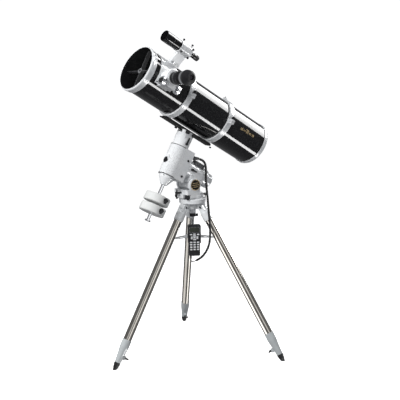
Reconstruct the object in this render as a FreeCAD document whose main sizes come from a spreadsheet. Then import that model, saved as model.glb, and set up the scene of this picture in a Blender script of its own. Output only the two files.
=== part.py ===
# A 235 mm reflecting telescope on a German equatorial mount and a three-legged field tripod.
#
# Millimetres. +Z is up, the origin is on the floor under the azimuth axis, -X is north (the way the
# tube points), -Y is the side of the focuser. Every assembly is drawn in a frame of its own:
#   leg     origin on the hinge, +X outwards, +Z up along the leg
#   polar   origin where the two axes cross, +X up the declination axis, +Z up the right-ascension axis
#   optics  polar frame moved to the tube's axis, +Z towards the open end
#   focus   origin on the tube's axis, +Z out along the focuser, +Y towards the open end
#   finder  origin on the finder's axis, +Z towards its objective
#   handset origin in the middle of the handset, -Y out of its face
import FreeCAD, Part
import math
import os
import re

import Sketcher
from FreeCAD import Placement, Rotation, Vector

doc = FreeCAD.newDocument("telescope")
dims = doc.addObject("Spreadsheet::Sheet", "dims")

SIZES = {
    # mount geometry
    "latitude_angle": 30,
    "pivot_north": -24,
    "pivot_height": 937,
    "polar_rise": 65,
    "polar_reach": 149,
    "fit_gap": 0.05,
    "part_gap": 0.35,
    # tripod head and centre rod
    "head_radius": 72,
    "head_low": 832,
    "head_top": 858,
    "hub_radius": 30,
    "hub_low": 798.3,
    "neck_radius": 58,
    "neck_top": 866,
    "spigot_radius": 15,
    "spigot_top": 879,
    "rod_radius": 5.5,
    "rod_low": 548,
    "rod_top": 850,
    "boss_radius": 18.5,
    "boss_low": 775,
    "peg_radius": 5,
    "peg_reach": 66,
    # legs
    "hinge_radius": 57,
    "hinge_height": 812,
    "splay_angle": 29.74,
    "lug_radius": 13,
    "lug_half": 14,
    "cheek_radius": 16,
    "cheek_half": 22,
    "bolt_radius": 4,
    "socket_radius": 26.5,
    "socket_low": -80,
    "leg_radius": 22.25,
    "leg_bore": 20.75,
    "leg_top": -29.6,
    "leg_low": -800,
    "sleeve_top": -767,
    "sleeve_low": -895,
    "inner_radius": 13,
    "inner_top": -550,
    "foot_radius": 17,
    "foot_top": -895.5,
    "foot_low": -944,
    "lever_height": -861,
    # spreader
    "tray_height": 646,
    "tray_thick": 5,
    "tray_reach": 122.3,
    "tray_hub": 42,
    "tray_hole": 16.2,
    # handset and its cord
    "handset_angle": -30,
    "handset_reach": 78,
    "handset_height": 640,
    "case_half": 34.5,
    "case_waist": 29.5,
    "case_top": 85,
    "case_step": -15,
    "case_low": -85,
    "case_front": -13,
    "case_back": 14,
    "cord_thick": 6,
    "coil_thick": 14,
    # azimuth base
    "base_radius": 62,
    "base_low": 866.35,
    "base_top": 880,
    "ear_inner": 50,
    "ear_outer": 60,
    "ear_radius": 38,
    "badge_radius": 34,
    "axle_radius": 10,
    "azimuth_bolt_height": 871.5,
    "latitude_bolt_radius": 5,
    # right-ascension and declination housings, polar frame
    "ra_radius": 50,
    "ra_front": -76,
    "ra_rear": -226,
    "cover_radius": 40.5,
    "cover_rear": -262,
    "axis_radius": 20,
    "dec_radius": 50,
    "dec_top": 84.8,
    "dec_low": -86.8,
    "dec_rear": -75.5,
    "saddle_low": 85.3,
    "saddle_radius": 45,
    "saddle_top": 171.6,
    "collar_low": -135,
    "shaft_radius": 9,
    "shaft_low": -340,
    "weight_radius": 70,
    "weight_thick": 45,
    "weight_upper": -222,
    "weight_lower": -280,
    # tube and everything on it, optics frame
    "tube_offset": 315,
    "tube_radius": 117.5,
    "tube_bore": 116,
    "tube_front": 425,
    "tube_rear": -431,
    "rim_radius": 125,
    "rim_bore": 118,
    "rim_low": 402,
    "rim_top": 439,
    "cell_front": -424,
    "cell_rear": -447,
    "cell_radius": 121,
    "mirror_radius": 100,
    "mirror_rear": -416,
    "mirror_front": -388,
    "mirror_curve": 2000,
    "vane_thick": 1.2,
    "vane_low": 388,
    "vane_top": 410,
    "holder_radius": 14,
    "secondary_height": 320,
    "ring_spacing": 147.5,
    "ring_half": 15,
    "ring_bore": 117.8,
    "ring_radius": 127,
    "hinge_reach": 134,
    "lug_reach": 142,
    "dovetail_low": -143,
    "dovetail_top": -130,
    "dovetail_half": 167.5,
    "stud_radius": 3.175,
    # focuser and finder
    "focuser_height": 320,
    "focuser_angle": 3,
    "plate_radius": 121.5,
    "plate_half": 53,
    "housing_radius": 41,
    "housing_top": 178,
    "draw_radius": 29,
    "draw_low": 108,
    "drum_radius": 33,
    "drum_low": 196,
    "draw_top": 240,
    "knob_radius": 22.5,
    "knob_offset": -40,
    "knob_reach": 50,
    "knob_height": 168,
    "adaptor_radius": 28,
    "adaptor_top": 276,
    "eyepiece_radius": 38,
    "eyepiece_top": 322,
    "finder_angle": 62,
    "finder_reach": 217,
    "finder_height": 285,
}
for row, (alias, size) in enumerate(SIZES.items(), start=1):
    dims.set("A%d" % row, alias)
    dims.set("B%d" % row, str(size))
    dims.setAlias("B%d" % row, alias)
doc.recompute()

AXES = {
    "x": Rotation(Vector(0, 0, 1), Vector(1, 0, 0)),
    "y": Rotation(Vector(0, 0, 1), Vector(0, 1, 0)),
    "z": Rotation(),
    "-x": Rotation(Vector(0, 0, 1), Vector(-1, 0, 0)),
}
ORIGIN = (0, 0, 0)
parts = {}


def bound(text):
    """The text with every alias written the way an expression of another object needs it."""
    return re.sub(r"\b[a-z]+(?:_[a-z]+)+\b", lambda word: "dims." + word.group(0), str(text))


def value(text):
    """The number that a formula of aliases comes to."""
    return float(dims.evalExpression(str(text)))


def place(shape, at, turn):
    """Turns a shape and binds the place of its origin to three formulas."""
    shape.Placement = Placement(Vector(*[value(text) for text in at]), turn)
    for axis, text in zip("xyz", at):
        shape.setExpression("Placement.Base." + axis, bound(text))
    return shape


def cylinder(radius, height, at=ORIGIN, turn="z"):
    shape = doc.addObject("Part::Cylinder", "cylinder")
    shape.setExpression("Radius", bound(radius))
    shape.setExpression("Height", bound(height))
    return place(shape, at, AXES[turn] if isinstance(turn, str) else turn)


def sphere(radius, at=ORIGIN):
    shape = doc.addObject("Part::Sphere", "sphere")
    shape.setExpression("Radius", bound(radius))
    return place(shape, at, AXES["z"])


def box(low, high):
    """A box between two corners, each three formulas."""
    shape = doc.addObject("Part::Box", "box")
    for side, start, end in zip(("Length", "Width", "Height"), low, high):
        shape.setExpression(side, bound("%s - (%s)" % (end, start)))
    return place(shape, low, AXES["z"])


def fuse(*shapes):
    shape = doc.addObject("Part::MultiFuse", "fusion")
    shape.Shapes = list(shapes)
    return shape


def cut(base, *tools):
    shape = doc.addObject("Part::Cut", "cut")
    shape.Base = base
    shape.Tool = tools[0] if len(tools) == 1 else fuse(*tools)
    return shape


def common(*shapes):
    shape = doc.addObject("Part::MultiCommon", "overlap")
    shape.Shapes = list(shapes)
    return shape


def group(shape):
    """Holds one shape that already has its place, so that it can be turned as a whole."""
    whole = doc.addObject("Part::Compound", "group")
    whole.Links = [shape]
    return whole


def turned(shape, turn, at=ORIGIN):
    """Turns and moves a finished shape as a whole."""
    shape.Placement = Placement(Vector(*[value(text) for text in at]), turn)
    return shape


def profile(body, plane, points):
    """A closed outline on one of the body's own planes, each corner held by two bound distances."""
    sketch = body.newObject("Sketcher::SketchObject", "profile")
    origin_plane = [item for item in body.Origin.OriginFeatures if item.Role == plane][0]
    sketch.AttachmentSupport = (origin_plane, [""])
    sketch.MapMode = "FlatFace"
    corners = [[value(text) for text in point] for point in points]
    count = len(corners)
    for index in range(count):
        start = Vector(*corners[index], 0)
        end = Vector(*corners[(index + 1) % count], 0)
        sketch.addGeometry(Part.LineSegment(start, end), False)
    for index in range(count):
        sketch.addConstraint(Sketcher.Constraint("Coincident", index, 2, (index + 1) % count, 1))
        for which, name, own_axis in ((0, "DistanceX", -2), (1, "DistanceY", -1)):
            size = corners[index][which]
            if abs(size) < 1e-9:
                sketch.addConstraint(Sketcher.Constraint("PointOnObject", index, 1, own_axis))
                continue
            number = sketch.addConstraint(Sketcher.Constraint(name, -1, 1, index, 1, size))
            sketch.setExpression("Constraints[%d]" % number, bound(points[index][which]))
    sketch.Visibility = False
    return sketch


def revolved(*points):
    """A body turned about its Z axis from (radius, height) corners."""
    body = doc.addObject("PartDesign::Body", "turning")
    sketch = profile(body, "XZ_Plane", points)
    feature = body.newObject("PartDesign::Revolution", "revolution")
    feature.Profile = sketch
    feature.ReferenceAxis = (sketch, ["V_Axis"])
    feature.Angle = 360
    return body


def padded(plane, points, length, spokes=1):
    """A body pushed up from an outline, both ways from its plane, and repeated around Z."""
    body = doc.addObject("PartDesign::Body", "plate")
    sketch = profile(body, plane, points)
    pad = body.newObject("PartDesign::Pad", "pad")
    pad.Profile = sketch
    pad.setExpression("Length", bound(length))
    pad.Midplane = True
    if spokes > 1:
        doc.recompute()
        pattern = body.newObject("PartDesign::PolarPattern", "spokes")
        pattern.Originals = [pad]
        pattern.Axis = (sketch, ["N_Axis"])
        pattern.Angle = 360
        pattern.Occurrences = spokes
        body.Tip = pattern
    return body


def part(name, shape, frame=Placement()):
    """Names a finished sub-part and puts it in its assembly's frame."""
    shape.Label = name
    if shape.Placement.isIdentity():
        shape.Placement = frame
    else:
        for axis in "xyz":
            shape.setExpression("Placement.Base." + axis, None)
        shape.Placement = frame * shape.Placement
    parts[name] = shape


# ------------------------------------------------------------------ frames

latitude = math.radians(value("latitude_angle"))
pole = Vector(-math.cos(latitude), 0, math.sin(latitude))
rise = Vector(math.sin(latitude), 0, math.cos(latitude))
pivot = Vector(value("pivot_north"), 0, value("pivot_height"))
polar_turn = Rotation(Vector(0, 1, 0), value("latitude_angle") - 90)
polar = Placement(pivot + rise * value("polar_rise") + pole * value("polar_reach"), polar_turn)
optics = polar * Placement(Vector(value("tube_offset"), 0, 0), Rotation())

focus_angle = math.radians(value("focuser_angle"))
focus_turn = Rotation(
    Vector(math.cos(focus_angle), math.sin(focus_angle), 0),
    Vector(0, 0, 1),
    Vector(math.sin(focus_angle), -math.cos(focus_angle), 0),
    "ZXY",
)
focus = optics * Placement(Vector(0, 0, value("focuser_height")), focus_turn)

finder_angle = math.radians(value("finder_angle"))
finder_out = Vector(math.sin(finder_angle), -math.cos(finder_angle), 0)
finder_turn = Rotation(finder_out, Vector(), Vector(0, 0, 1), "ZXY")
finder = optics * Placement(
    finder_out * value("finder_reach") + Vector(0, 0, value("finder_height")), finder_turn
)

handset_turn = Rotation(Vector(0, 0, 1), value("handset_angle"))
handset_spot = handset_turn.multVec(Vector(0, -value("handset_reach"), 0))
handset = Placement(handset_spot + Vector(0, 0, value("handset_height")), handset_turn)

LEGS = {"north": 180, "west": -60, "east": 60}


def spoke(angle):
    return Rotation(Vector(0, 0, 1), angle)


def leg_frame(angle):
    lean = Rotation(Vector(0, 1, 0), -value("splay_angle"))
    hinge = Vector(value("hinge_radius"), 0, value("hinge_height"))
    return Placement(spoke(angle).multVec(hinge), spoke(angle) * lean)


# ------------------------------------------------------------------ tripod head


def tripod_head():
    body = revolved(
        ("rod_radius + part_gap", "hub_low"),
        ("hub_radius - 3", "hub_low"),
        ("hub_radius", "hub_low + 3"),
        ("hub_radius", "head_low"),
        ("head_radius - 3", "head_low"),
        ("head_radius", "head_low + 3"),
        ("head_radius", "head_top - 3"),
        ("head_radius - 3", "head_top"),
        ("neck_radius", "head_top"),
        ("neck_radius", "neck_top"),
        ("spigot_radius", "neck_top"),
        ("spigot_radius", "spigot_top"),
        ("rod_radius + part_gap", "spigot_top"),
    )
    pieces = [body]
    bores = []
    for angle in LEGS.values():
        round_end = cylinder(
            "lug_radius", "2 * lug_half", ("hinge_radius", "-lug_half", "hinge_height"), "y"
        )
        web = box(
            ("hub_radius - 4", "-lug_half", "hinge_height"),
            ("hinge_radius + lug_radius", "lug_half", "head_low + 1"),
        )
        neck = box(
            ("hub_radius - 4", "-lug_half", "hinge_height - lug_radius"),
            ("hinge_radius", "lug_half", "hinge_height"),
        )
        pieces.append(turned(fuse(round_end, web, neck), spoke(angle)))
        bore = cylinder(
            "bolt_radius + fit_gap",
            "2 * lug_half + 2",
            ("hinge_radius", "-lug_half - 1", "hinge_height"),
            "y",
        )
        bores.append(turned(group(bore), spoke(angle)))
    peg = cylinder("peg_radius", "spigot_top - head_top", ("-peg_reach", 0, "head_top - 0.5"))
    return cut(fuse(*pieces, peg), *bores)


def leg_bolt(angle):
    """The hinge bolt of one leg, with a round head at each cheek."""
    shank = cylinder(
        "bolt_radius", "2 * cheek_half + 3", ("hinge_radius", "-cheek_half - 1.5", "hinge_height"), "y"
    )
    heads = [
        cylinder("bolt_radius + 3", 3.5, ("hinge_radius", start, "hinge_height"), "y")
        for start in ("cheek_half + part_gap", "-cheek_half - part_gap - 3.5")
    ]
    return turned(fuse(shank, *heads), spoke(angle))


def tripod_fasteners():
    """Three hinge bolts, the centre rod and the steel boss that the rod hangs from."""
    rod = cylinder("rod_radius", "rod_top - rod_low", (0, 0, "rod_low"))
    boss = cylinder("boss_radius", "hub_low - boss_low - part_gap", (0, 0, "boss_low"))
    return fuse(rod, boss, *[leg_bolt(angle) for angle in LEGS.values()])


def wing_knob(hub, reach, low, high):
    """A knob with two wings that turns on the centre rod."""
    pieces = [
        cylinder(hub, "%s - (%s)" % (high, low), (0, 0, low)),
        turned(
            box(("-%s" % reach, -5.5, "%s + 3" % low), (reach, 5.5, "%s - 2" % high)),
            spoke(-36),
        ),
    ]
    bore = cylinder("rod_radius + fit_gap", "%s - (%s) + 2" % (high, low), (0, 0, "%s - 1" % low))
    return cut(fuse(*pieces), bore)


part("tripod_head", tripod_head())
part("tripod_fasteners", tripod_fasteners())
part("mount_knob", wing_knob("15", "23", "boss_low - 19", "boss_low - 0.4"))

# ------------------------------------------------------------------ legs


def leg_fittings():
    """The forked casting at the top of a leg and the sleeve at its bottom."""
    socket = revolved(
        (0, -17),
        (19, -17),
        ("socket_radius", -36),
        ("socket_radius", "socket_low + 4"),
        ("socket_radius - 1.5", "socket_low"),
        ("leg_radius + part_gap", "socket_low"),
        ("leg_radius + part_gap", "leg_top + part_gap"),
        (0, "leg_top + part_gap"),
    )
    fork = fuse(
        cylinder("cheek_radius", "2 * cheek_half", (0, "-cheek_half", 0), "y"),
        box(("-cheek_radius", "-cheek_half", "leg_top + 2"), ("cheek_radius", "cheek_half", 0)),
    )
    slot = box(
        ("-cheek_radius - 4", "-lug_half - part_gap", "-lug_radius - 2"),
        ("cheek_radius + 4", "lug_half + part_gap", "cheek_radius + 2"),
    )
    bore = cylinder("bolt_radius + fit_gap", "2 * cheek_half + 2", (0, "-cheek_half - 1", 0), "y")
    sleeve = revolved(
        ("leg_radius + part_gap", "sleeve_top"),
        ("leg_radius + 2.2", "sleeve_top"),
        ("leg_radius + 2.2", "leg_low - 8"),
        (19.5, -850),
        (16.5, "sleeve_low"),
        ("inner_radius + fit_gap", "sleeve_low"),
        ("inner_radius + fit_gap", -850),
        ("leg_radius + part_gap", "leg_low - 6"),
    )
    lug = box((-32, -7, "lever_height - 11"), (-14.5, 7, "lever_height + 11"))
    tapped = cylinder("3 + fit_gap", 20, (-13.5, 0, "lever_height"), "-x")
    return fuse(cut(fuse(socket, fork), slot, bore), cut(fuse(sleeve, lug), tapped))


def leg_tube():
    return revolved(
        ("leg_bore", "leg_low"),
        ("leg_radius", "leg_low"),
        ("leg_radius", "leg_top"),
        ("leg_bore", "leg_top"),
    )


def leg_foot(frame):
    """The inner tube with its guide collar and stepped rubber foot, trimmed level with the floor."""
    leg = revolved(
        (0, "inner_top"),
        ("leg_bore - part_gap", "inner_top"),
        ("leg_bore - part_gap", "inner_top - 16"),
        ("inner_radius", "inner_top - 16"),
        ("inner_radius", "foot_top"),
        ("foot_radius", "foot_top"),
        ("foot_radius", "foot_top - 13"),
        ("foot_radius - 2.5", "foot_top - 13"),
        ("foot_radius - 2.5", "foot_top - 24"),
        ("foot_radius - 6", "foot_top - 33"),
        ("foot_radius - 9", "foot_low"),
        (0, "foot_low"),
    )
    ground = box((-700, -700, -60), (700, 700, 0))
    ground = fuse(ground, cylinder(1, 1, (0, 0, -30)))
    ground.Placement = frame.inverse()
    return cut(leg, ground)


def leg_lever():
    """The T-handled screw that locks the inner tube."""
    screw = cylinder(3, 26, (-15.5, 0, "lever_height"), "-x")
    hub = cylinder(6.5, 11, (-34, 0, "lever_height"), "-x")
    bar = cylinder(4.5, 38, (-42, -19, "lever_height"), "y")
    return fuse(screw, hub, bar)


for side, angle in LEGS.items():
    leg = leg_frame(angle)
    part("leg_%s_fittings" % side, leg_fittings(), leg)
    part("leg_%s_tube" % side, leg_tube(), leg)
    part("leg_%s_foot" % side, leg_foot(leg), leg)
    part("leg_%s_lever" % side, leg_lever(), leg)

# ------------------------------------------------------------------ spreader


def spreader_tray():
    """Three tapered arms with a rim below, an eyepiece hole in each, sliding on the centre rod."""
    arms = padded(
        "XY_Plane",
        [(0, -26), (60, -23), ("tray_reach", -14), ("tray_reach", 14), (60, 23), (0, 26)],
        "tray_thick",
        spokes=3,
    )
    place(arms, (0, 0, "tray_height + tray_thick / 2"), AXES["z"])
    hub = cylinder("tray_hub", "tray_thick + 4", (0, 0, "tray_height - 4"))
    holes = [cylinder("rod_radius + fit_gap", 30, (0, 0, "tray_height - 10"))]
    for angle in LEGS.values():
        hole = cylinder("tray_hole", 30, (75, 0, "tray_height - 10"))
        holes.append(turned(group(hole), spoke(angle)))
    arms = turned(fuse(arms, hub), spoke(180))
    return cut(arms, *holes)


part("spreader_tray", spreader_tray())
part("spreader_knob", wing_knob("13", "20", "tray_height - 24", "tray_height - 4.4"))

# ------------------------------------------------------------------ handset and cord


def handset_holder():
    """A clamp on the centre rod, an arm over the tray and a cradle behind the handset."""
    clamp = cylinder(13, 14, (0, "handset_reach", 34))
    arm = box((-6, "case_back + 2", 36), (6, "handset_reach - 8", 46))
    cradle = box((-24, "case_back + part_gap", -20), (24, "case_back + 3.4", 50))
    bore = cylinder("rod_radius + part_gap", 20, (0, "handset_reach", 31))
    return cut(fuse(clamp, arm, cradle), bore)


def handset_case():
    """The body of the handset: a wide top, a narrower grip, a screen recess and wells for the keys."""
    outline = [
        ("case_waist - 4", "case_low"),
        ("case_waist", "case_low + 5"),
        ("case_waist", "case_step - 3"),
        ("case_half", "case_step + 3"),
        ("case_half", "case_top - 6"),
        ("case_half - 6", "case_top"),
    ]
    mirrored = [("-(%s)" % across, up) for across, up in reversed(outline)]
    shell = padded("XZ_Plane", outline + mirrored, "case_back - case_front")
    place(shell, (0, "(case_back + case_front) / 2", 0), AXES["z"])
    screen = box((-26, "case_front - 1", 45), (26, "case_front + 1.6", 72))
    wells = [screen]
    for across, up, wide, tall in KEYS:
        wells.append(
            box(
                (across - wide / 2 - 0.4, "case_front - 1", up - tall / 2 - 0.4),
                (across + wide / 2 + 0.4, "case_front + 6", up + tall / 2 + 0.4),
            )
        )
    return cut(shell, *wells)


def keys(table):
    """A set of key caps, standing 1.5 proud of the face."""
    caps = []
    for across, up, wide, tall in table:
        low = (across - wide / 2, "case_front - 1.5", up - tall / 2)
        high = (across + wide / 2, "case_front + 4", up + tall / 2)
        caps.append(box(low, high))
    return fuse(*caps)


MENU_KEYS = [(across, up, 12, 6) for across, up in ((-19, 33), (0, 35), (19, 33))]
MENU_KEYS += [(across, up, wide, tall) for across, up, wide, tall in (
    (-15, 15, 9, 14),
    (15, 15, 9, 14),
    (0, 25, 16, 6),
    (0, 5, 16, 6),
    (0, 15, 12, 7),
)]
NUMBER_KEYS = [(column * 18.5, -10 - row * 13, 12, 7) for row in range(4) for column in (-1, 0, 1)]
KEYS = MENU_KEYS + NUMBER_KEYS

COIL_ROUTE = [
    (20, -34, 1071),
    (42, -38, 1065),
    (56, -46, 1045),
    (55, -54, 1019),
    (46, -62, 958),
    (38, -90, 854),
    (30, -106, 800),
    (26, -123, 724),
    (24.5, -125, 650),
    (16.5, -119, 600),
    (-3, -108, 562),
    (-24, -94, 539),
    (-42, -78, 527),
]
TAIL_ROUTE = [(-42, -78, 527), (-52, -68, 522), (-59, -60, 527), (-57, -58.5, 541)]


def round_path(route):
    """Straight runs joined by arcs, each as large as the shorter of its two runs allows."""
    points = [Vector(*point) for point in route]
    edges = []
    start = points[0]
    for before, corner, after in zip(points, points[1:], points[2:]):
        back = (before - corner).normalize()
        ahead = (after - corner).normalize()
        turn = math.pi - back.getAngle(ahead)
        reach = 0.45 * min((before - corner).Length, (after - corner).Length)
        radius = reach / math.tan(turn / 2)
        inward = (back + ahead).normalize()
        middle = corner + inward * (radius / math.cos(turn / 2) - radius)
        edges.append(Part.LineSegment(start, corner + back * reach).toShape())
        edges.append(Part.Arc(corner + back * reach, middle, corner + ahead * reach).toShape())
        start = corner + ahead * reach
        print("cord bend: radius %.0f mm, turn %.0f degrees" % (radius, math.degrees(turn)))
    edges.append(Part.LineSegment(start, points[-1]).toShape())
    return Part.Wire(edges)


def cord(route, thick):
    """A round cord along its route, swept with square ends."""
    path = doc.addObject("Part::Feature", "route")
    path.Shape = round_path(route)
    section = doc.addObject("Part::Circle", "section")
    section.setExpression("Radius", bound("%s / 2" % thick))
    first = Vector(*route[1]) - Vector(*route[0])
    section.Placement = Placement(Vector(*route[0]), Rotation(Vector(0, 0, 1), first))
    sweep = doc.addObject("Part::Sweep", "sweep")
    sweep.Sections = [section]
    sweep.Spine = (path, ["Edge%d" % (index + 1) for index in range(len(path.Shape.Edges))])
    sweep.Solid = True
    sweep.Frenet = False
    doc.recompute()
    volume = math.pi * (value(thick) / 2) ** 2 * path.Shape.Length
    print("cord: length %.0f mm, volume %.4f of section times length" % (
        path.Shape.Length, sweep.Shape.Volume / volume))
    return sweep


part("handset_holder", handset_holder(), handset)
part("handset_case", handset_case(), handset)
part("handset_menu_keys", keys(MENU_KEYS), handset)
part("handset_number_keys", keys(NUMBER_KEYS), handset)
part("handset_plug", cylinder(5.5, 13.5, (-57, -58.5, 541)))
part("cord_tail", cord(TAIL_ROUTE, "cord_thick"))
part("cord_coil", cord(COIL_ROUTE, "coil_thick"))

# ------------------------------------------------------------------ azimuth base


NORTH_TIP = (-37.5, 0, 894)
SOUTH_TIP = (-10.5, 0, 892.5)
SOUTH_SLOPE = 13
SOUTH_TURN = Rotation(Vector(0, 1, 0), 90 + SOUTH_SLOPE)


def azimuth_base():
    """The turntable, its two ears with the latitude axle, and the block that holds four bolts."""
    table = revolved(
        ("spigot_radius + fit_gap", "base_low"),
        ("base_radius", "base_low"),
        ("base_radius", "base_top - 3"),
        ("base_radius - 3", "base_top"),
        ("spigot_radius + fit_gap", "base_top"),
    )
    ears = []
    for start in ("ear_inner", "-ear_outer"):
        low_ear = box(
            ("pivot_north - 28", start, "base_low"),
            ("pivot_north + 34", "%s + ear_outer - ear_inner" % start, "pivot_height"),
        )
        round_top = cylinder(
            "ear_radius", "ear_outer - ear_inner", ("pivot_north", start, "pivot_height"), "y"
        )
        ears += [low_ear, round_top]
    badge = cylinder("badge_radius", 3, ("pivot_north", "-ear_outer - 3", "pivot_height"), "y")
    cover = cylinder("badge_radius", 3, ("pivot_north", "ear_outer", "pivot_height"), "y")
    axle = cylinder(
        "axle_radius", "2 * ear_outer", ("pivot_north", "-ear_outer", "pivot_height"), "y"
    )
    block = box(("-peg_reach - 16", -30, "base_low"), ("-peg_reach + 22", 30, "base_top + 10"))
    north_wall = box((-74, "-ear_outer", "base_top + 6"), (-60, "ear_outer", 911))
    ear_ties = [
        box((-74, start, "base_top + 6"), (-40, "%s + ear_outer - ear_inner" % start, 911))
        for start in ("ear_inner", "-ear_outer")
    ]
    south_boss = cylinder(9, 26, (40, 0, 880.8), SOUTH_TURN)
    solid = fuse(table, *ears, badge, cover, axle, block, north_wall, *ear_ties, south_boss)
    peg_slot = box(
        ("-peg_reach - 8", -13, "base_low - 1"), ("-peg_reach + 8", 13, "spigot_top + 0.5")
    )
    azimuth_bore = cylinder("4 + fit_gap", 80, ("-peg_reach", -40, "azimuth_bolt_height"), "y")
    north_bore = cylinder("latitude_bolt_radius + fit_gap", 30, (-85, 0, NORTH_TIP[2]), "x")
    south_bore = cylinder("latitude_bolt_radius + fit_gap", 130, SOUTH_TIP, SOUTH_TURN)
    tongue_well = box((-60, -18, "base_top"), (18, 18, "base_top + 12"))
    spigot_room = cylinder("spigot_radius + fit_gap", 30, (0, 0, "base_low - 1"))
    return cut(solid, peg_slot, azimuth_bore, north_bore, south_bore, tongue_well, spigot_room)


def azimuth_bolt(side):
    """A knurled knob on a screw whose tip bears on the peg; side is +1 for east."""
    tip = "peg_radius + part_gap"
    if side > 0:
        screw = cylinder(4, 38, ("-peg_reach", tip, "azimuth_bolt_height"), "y")
        knob = cylinder(12.5, 13, ("-peg_reach", 39, "azimuth_bolt_height"), "y")
    else:
        screw = cylinder(4, 38, ("-peg_reach", "-(%s) - 38" % tip, "azimuth_bolt_height"), "y")
        knob = cylinder(12.5, 13, ("-peg_reach", -52, "azimuth_bolt_height"), "y")
    return fuse(screw, knob)


def latitude_bolt_north():
    height = NORTH_TIP[2]
    screw = cylinder("latitude_bolt_radius", 70, (NORTH_TIP[0], 0, height), "-x")
    head = cylinder(8, 12, (-96, 0, height), "-x")
    bar = cylinder(3, 46, (-102, 0, height - 26))
    tip_ball = sphere(6, (-102, 0, height - 26))
    return fuse(screw, head, bar, tip_ball)


def latitude_bolt_south():
    run = Vector(math.cos(math.radians(SOUTH_SLOPE)), 0, -math.sin(math.radians(SOUTH_SLOPE)))
    end = Vector(*SOUTH_TIP) + run * 104
    screw = cylinder("latitude_bolt_radius", 108, SOUTH_TIP, SOUTH_TURN)
    head = cylinder(7, 12, tuple(end - run * 8), SOUTH_TURN)
    bar = cylinder(3, 44, (end.x - 2, 0, end.z - 36))
    return fuse(screw, head, bar)


part("azimuth_base", azimuth_base())
part("azimuth_bolt_east", azimuth_bolt(1))
part("azimuth_bolt_west", azimuth_bolt(-1))
part("latitude_bolt_north", latitude_bolt_north())
part("latitude_bolt_south", latitude_bolt_south())

# ------------------------------------------------------------------ right-ascension housing


def ra_housing():
    """The polar axis housing with its hub on the latitude axle, its tongue and its rear cover."""
    barrel = revolved(
        ("axis_radius + fit_gap", "ra_front"),
        ("ra_radius - 2", "ra_front"),
        ("ra_radius", "ra_front - 3"),
        ("ra_radius", "ra_rear + 6"),
        ("ra_radius - 6", "ra_rear"),
        ("cover_radius", "ra_rear"),
        ("cover_radius", "cover_rear + 5"),
        ("cover_radius - 5", "cover_rear"),
        (0, "cover_rear"),
        (0, "ra_front - 62"),
        ("axis_radius + fit_gap", "ra_front - 62"),
    )
    half = "ear_inner - 2.3"
    belly = box(("-polar_rise", "-(%s)" % half, "-polar_reach - 31"), (0, half, "-polar_reach + 40"))
    hub = cylinder(31, "2 * (%s)" % half, ("-polar_rise", "-(%s)" % half, "-polar_reach"), "y")
    tongue = box((-7, -14, -51), (7, 14, 0))
    tongue = fuse(tongue, cylinder(9, 28, (0, -14, 0), "y"))
    turned(tongue, polar_turn.inverted(), ("-polar_rise", 0, "-polar_reach"))
    gearbox = box((-22, 30, "ra_front - 70"), (24, 62, "ra_front - 2"))
    solid = fuse(barrel, belly, hub, tongue, gearbox)
    axle_bore = cylinder(
        "axle_radius + fit_gap", "2 * ear_outer", ("-polar_rise", "-ear_outer", "-polar_reach"), "y"
    )
    shaft_room = cylinder("axis_radius + fit_gap", 70, (0, 0, "ra_front - 62"))
    return cut(solid, axle_bore, shaft_room)


COIL_START = polar.inverse().multVec(Vector(*COIL_ROUTE[0]))
SOCKET_EXIT = COIL_START + Vector(-5, 3.5, 20)


def control_panel():
    """The motor electronics on the upper west flank of the housing, with the cord's socket."""
    case = box((30, -40, -174), (58, -8, -110))
    socket = cylinder(11, 18, (56, -31, -96), "x")
    plug = cylinder(8.5, 20.4, SOCKET_EXIT, Rotation(Vector(0, 0, 1), COIL_START - SOCKET_EXIT))
    barrel_room = cylinder("ra_radius + part_gap", 200, (0, 0, -260))
    return cut(fuse(case, socket, plug), barrel_room)


def ra_clutch_lever():
    hub = cylinder(7, 12, (0, "-ra_radius - 12.4", -98), "y")
    arm = box((-4, "-ra_radius - 12.4", -126), (4, "-ra_radius - 5", -98))
    return fuse(hub, arm)


part("ra_housing", ra_housing(), polar)
part("control_panel", control_panel(), polar)
part("ra_clutch_lever", ra_clutch_lever(), polar)

# ------------------------------------------------------------------ declination assembly


def dec_housing():
    """A housing that is half round in front and flat at its sides, with both shafts' bores."""
    front = cylinder("dec_radius", "dec_top - dec_low", ("dec_low", 0, 0), "x")
    back = box(("dec_low", "-dec_radius", "dec_rear"), ("dec_top", "dec_radius", 0))
    polar_shaft = cylinder("axis_radius", 60, (0, 0, "dec_rear - 59"))
    scope_seat = cylinder(20, 8, (0, 0, "dec_radius - 6"))
    dec_bore = cylinder("axis_radius + fit_gap", 400, (-200, 0, 0), "x")
    return cut(fuse(front, back, polar_shaft, scope_seat), dec_bore)


def saddle():
    """The head of the declination axis: a drum that widens into the plate that holds the dovetail."""
    drum = cylinder("saddle_radius", 45, ("saddle_low", 0, 0), "x")
    plate = common(
        box(("saddle_low + 40", -40, -46), ("saddle_top", 40, 46)),
        cylinder("saddle_radius + 1", 100, ("saddle_low + 30", 0, 0), "x"),
    )
    shaft = cylinder("axis_radius", "saddle_low - dec_low + 5", ("dec_low - 4", 0, 0), "x")
    return cut(fuse(drum, plate, shaft), dovetail_room("part_gap"), *[
        cylinder("4 + fit_gap", 30, (163, -42, height), "y") for height in (-24, 24)])


def dovetail_room(gap):
    """The dovetail's own section, grown by a gap, from the saddle's floor upwards."""
    wedge = padded(
        "XY_Plane",
        [
            ("saddle_top - 16 - %s" % gap, "22.5 + %s" % gap),
            ("saddle_top + 1", "17.5 + %s" % gap),
            ("saddle_top + 1", "-17.5 - %s" % gap),
            ("saddle_top - 16 - %s" % gap, "-22.5 - %s" % gap),
        ],
        400,
    )
    return wedge


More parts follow.
